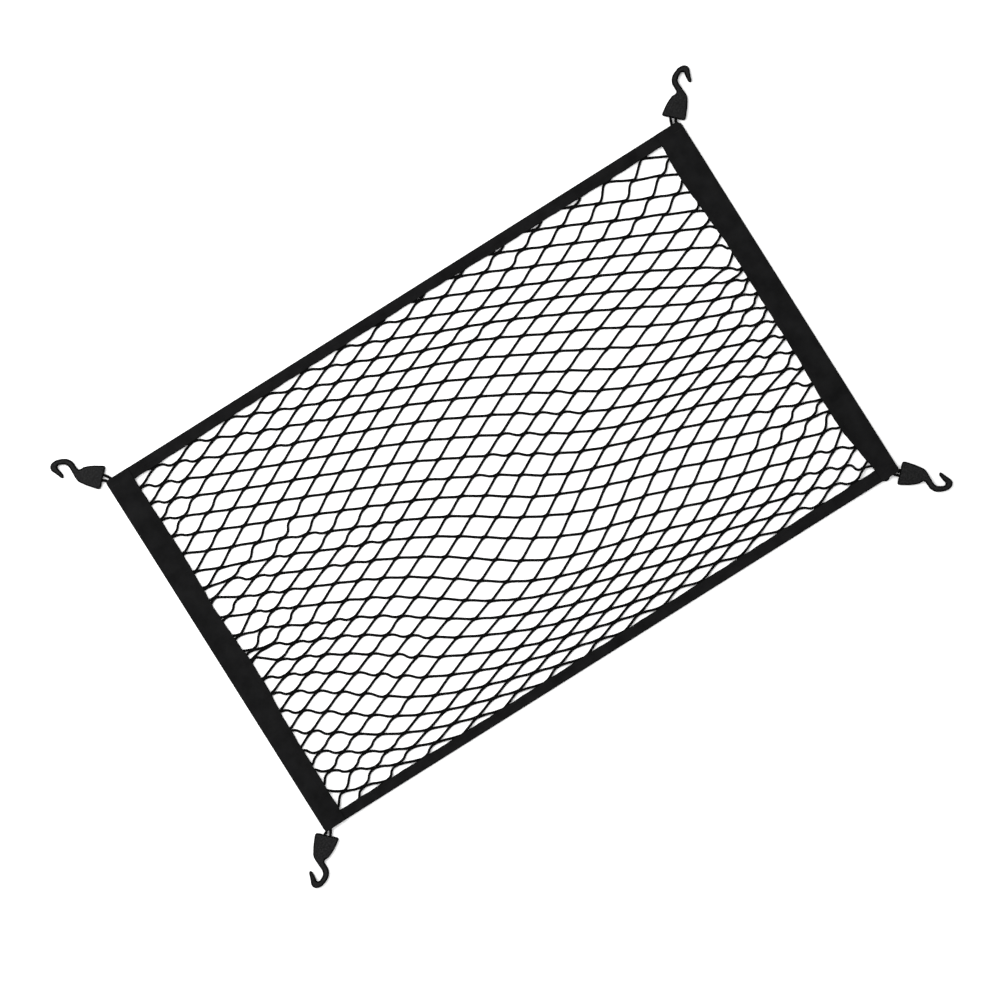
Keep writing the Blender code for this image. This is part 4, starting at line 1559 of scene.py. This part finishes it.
@dataclass
class CordLoop:
    """The braided elastic loop that joins a hook to the open end of an end band."""

    cord: float = 4.1
    socket_room: float = 0.7
    mouth: float = 2.2
    outer_sewn: float = 495.0
    inner_sewn: float = 489.8
    sewn_from: float = 287.0
    straight_to: float = 297.5
    exit_y: float = 305.0
    bend_steps: int = 4
    curve_steps: int = 8
    step: float = 0.32
    sides: int = 32
    relief: float = 0.12
    yarns: float = 4.0
    yarn_pitch: float = 5.0

    def leg(self, sewn: float, leaves: float) -> list[Vector]:
        """A leg's way from the stitching to the mouth of the band, outward along X and Y."""
        held = min(sewn, leaves)
        return [Vector((held, self.sewn_from)), Vector((held, self.straight_to)),
                Vector((leaves, self.exit_y))]

    def route(self, corner: Corner) -> list[Vector]:
        """The cord's way out of the band, round in the socket and back, along X and Y."""
        base = Vector((corner.base_x, corner.base_y))
        middle, reach = (LEG_INNER + LEG_OUTER) / 2, (LEG_INNER - LEG_OUTER) / 2
        straight = SOCKET_DEPTH - self.socket_room - self.cord / 2 - reach
        angles = (math.pi * step / self.bend_steps for step in range(self.bend_steps + 1))
        bend = [base + ACROSS * (middle - reach * math.cos(angle))
                + OUT * (straight + reach * math.sin(angle)) for angle in angles]
        mouths = [base + ACROSS * leg - OUT * self.mouth for leg in (LEG_OUTER, LEG_INNER)]
        outer = self.leg(self.outer_sewn, corner.outer_exit)
        inner = self.leg(self.inner_sewn, corner.inner_exit)
        return [*outer, mouths[0], *bend, mouths[1], *reversed(inner)]

    def path(self, corner: Corner) -> np.ndarray:
        """The smooth course of the cord in millimetres about the net's middle."""
        points = self.route(corner)
        padded = [2 * points[0] - points[1], *points, 2 * points[-1] - points[-2]]
        places = []
        for before, here, after, beyond in zip(padded, padded[1:], padded[2:], padded[3:]):
            for t in np.linspace(0, 1, self.curve_steps, endpoint=False):
                places.append(
                    0.5 * (2 * here + (after - before) * t
                           + (2 * before - 5 * here + 4 * after - beyond) * t ** 2
                           + (3 * here - before - 3 * after + beyond) * t ** 3)
                )
        places.append(points[-1])
        flat = np.array([tuple(place) for place in places]) * (corner.side_x, corner.side_y)
        return np.column_stack([flat, np.full(len(flat), CORNER_THICKNESS / 2)])

    def build(self, finish: bpy.types.Material) -> None:
        """Builds the four loops in place of their solids."""
        for corner in CORNERS:
            mesh = grown(
                f"cord_loop_{corner.name}", [self.path(corner)], GeometryTrees.cord(),
                Step=self.step * MM, Radius=self.cord / 2 * MM, Sides=self.sides,
                Relief=self.relief, Yarns=self.yarns, Pitch=self.yarn_pitch * MM, Finish=finish,
            )
            settle(mesh.name, mesh, finish, Slot.CORD, f"loop_{corner.name}")


# --- Studio ---


@dataclass
class Studio:
    """A plain pale floor, even soft light and a camera straight overhead."""

    middle_x: float = -20.3
    middle_y: float = -29.5
    frame_width: float = 1475.5
    distance: float = 6000.0
    roll: float = -32.2
    sensor: float = 36.0
    sight: float = 100.0
    floor_size: float = 12000.0
    floor_level: float = -0.4
    floor_tone: float = 0.97
    floor_roughness: float = 0.9
    floor_gloss: float = 0.1
    surround: float = 1.1
    lamp_size: float = 3.0
    lamp_power: float = 120.0
    lamp_at: tuple[float, float, float] = (-1.1, 1.6, 2.6)

    def floor(self) -> None:
        """A pale floor just under the net."""
        half, level = self.floor_size / 2, self.floor_level
        corners = ((-half, -half, level), (half, -half, level), (half, half, level),
                   (-half, half, level))
        made = bpy.data.materials.new("studio floor")
        made.use_nodes = True
        NodeSketch(made.node_tree).fill(made.node_tree.nodes["Principled BSDF"], {
            "Base Color": (self.floor_tone, self.floor_tone, self.floor_tone, 1),
            "Roughness": self.floor_roughness, "Specular IOR Level": self.floor_gloss,
        })
        show("studio_floor", make_mesh("studio_floor", corners, [(0, 1, 2, 3)]), made)

    def light(self) -> None:
        """An even white surround and one large soft light from the upper left."""
        world = bpy.data.worlds.new("studio")
        world.use_nodes = True
        NodeSketch(world.node_tree).fill(world.node_tree.nodes["Background"], {
            "Color": (1, 1, 1, 1), "Strength": self.surround,
        })
        bpy.context.scene.world = world
        lamp = bpy.data.lights.new("soft_light", "AREA")
        lamp.shape = "DISK"
        lamp.size = self.lamp_size
        lamp.energy = self.lamp_power
        holder = put("soft_light", lamp)
        holder.location = Vector(self.lamp_at)
        holder.rotation_euler = (-Vector(self.lamp_at)).to_track_quat("-Z", "Y").to_euler()

    def camera(self) -> None:
        """A long lens straight down, rolled so that the net lies aslant."""
        lens = bpy.data.cameras.new("camera")
        lens.sensor_width = self.sensor
        lens.lens = lens.sensor_width * self.distance / self.frame_width
        lens.clip_end = self.sight
        holder = put("camera", lens)
        holder.location = (self.middle_x * MM, self.middle_y * MM, self.distance * MM)
        holder.rotation_euler = (0.0, 0.0, math.radians(self.roll))
        bpy.context.scene.camera = holder

    def build(self) -> None:
        """Sets up the whole studio."""
        self.camera()
        self.floor()
        self.light()
        bpy.context.scene.view_settings.view_transform = "Standard"


def main() -> None:
    """Builds every piece."""
    logging.basicConfig(level=logging.INFO, format="%(name)s: %(message)s")
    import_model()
    Studio().build()
    strand = CordFinish().material()
    webbing = TapeFinish().material()
    thread = CordFinish(name="sewing thread", deep=(0.004, 0.004, 0.004),
                        faded=(0.008, 0.008, 0.008), gloss=0.1).material()
    plastic = PlasticFinish().material()
    cord = CordFinish(name="loop cord", yarn_pitch=0.005, yarns=4.0).material()
    front, middle, back = DiamondNet().build(strand)
    edges = band_edges()
    tapes = [edge.build(webbing) for edge in edges]
    seams = Sewing().build(edges, thread)
    in_folds = ([front, middle, back], [front, middle, back], [front], [back])
    for edge, tape, seam, net in zip(edges, tapes, seams, in_folds):
        edge.declare(tape, seam, net)
    MouldedHook().build(plastic)
    CordLoop().build(cord)


if __name__ == "__main__":
    main()
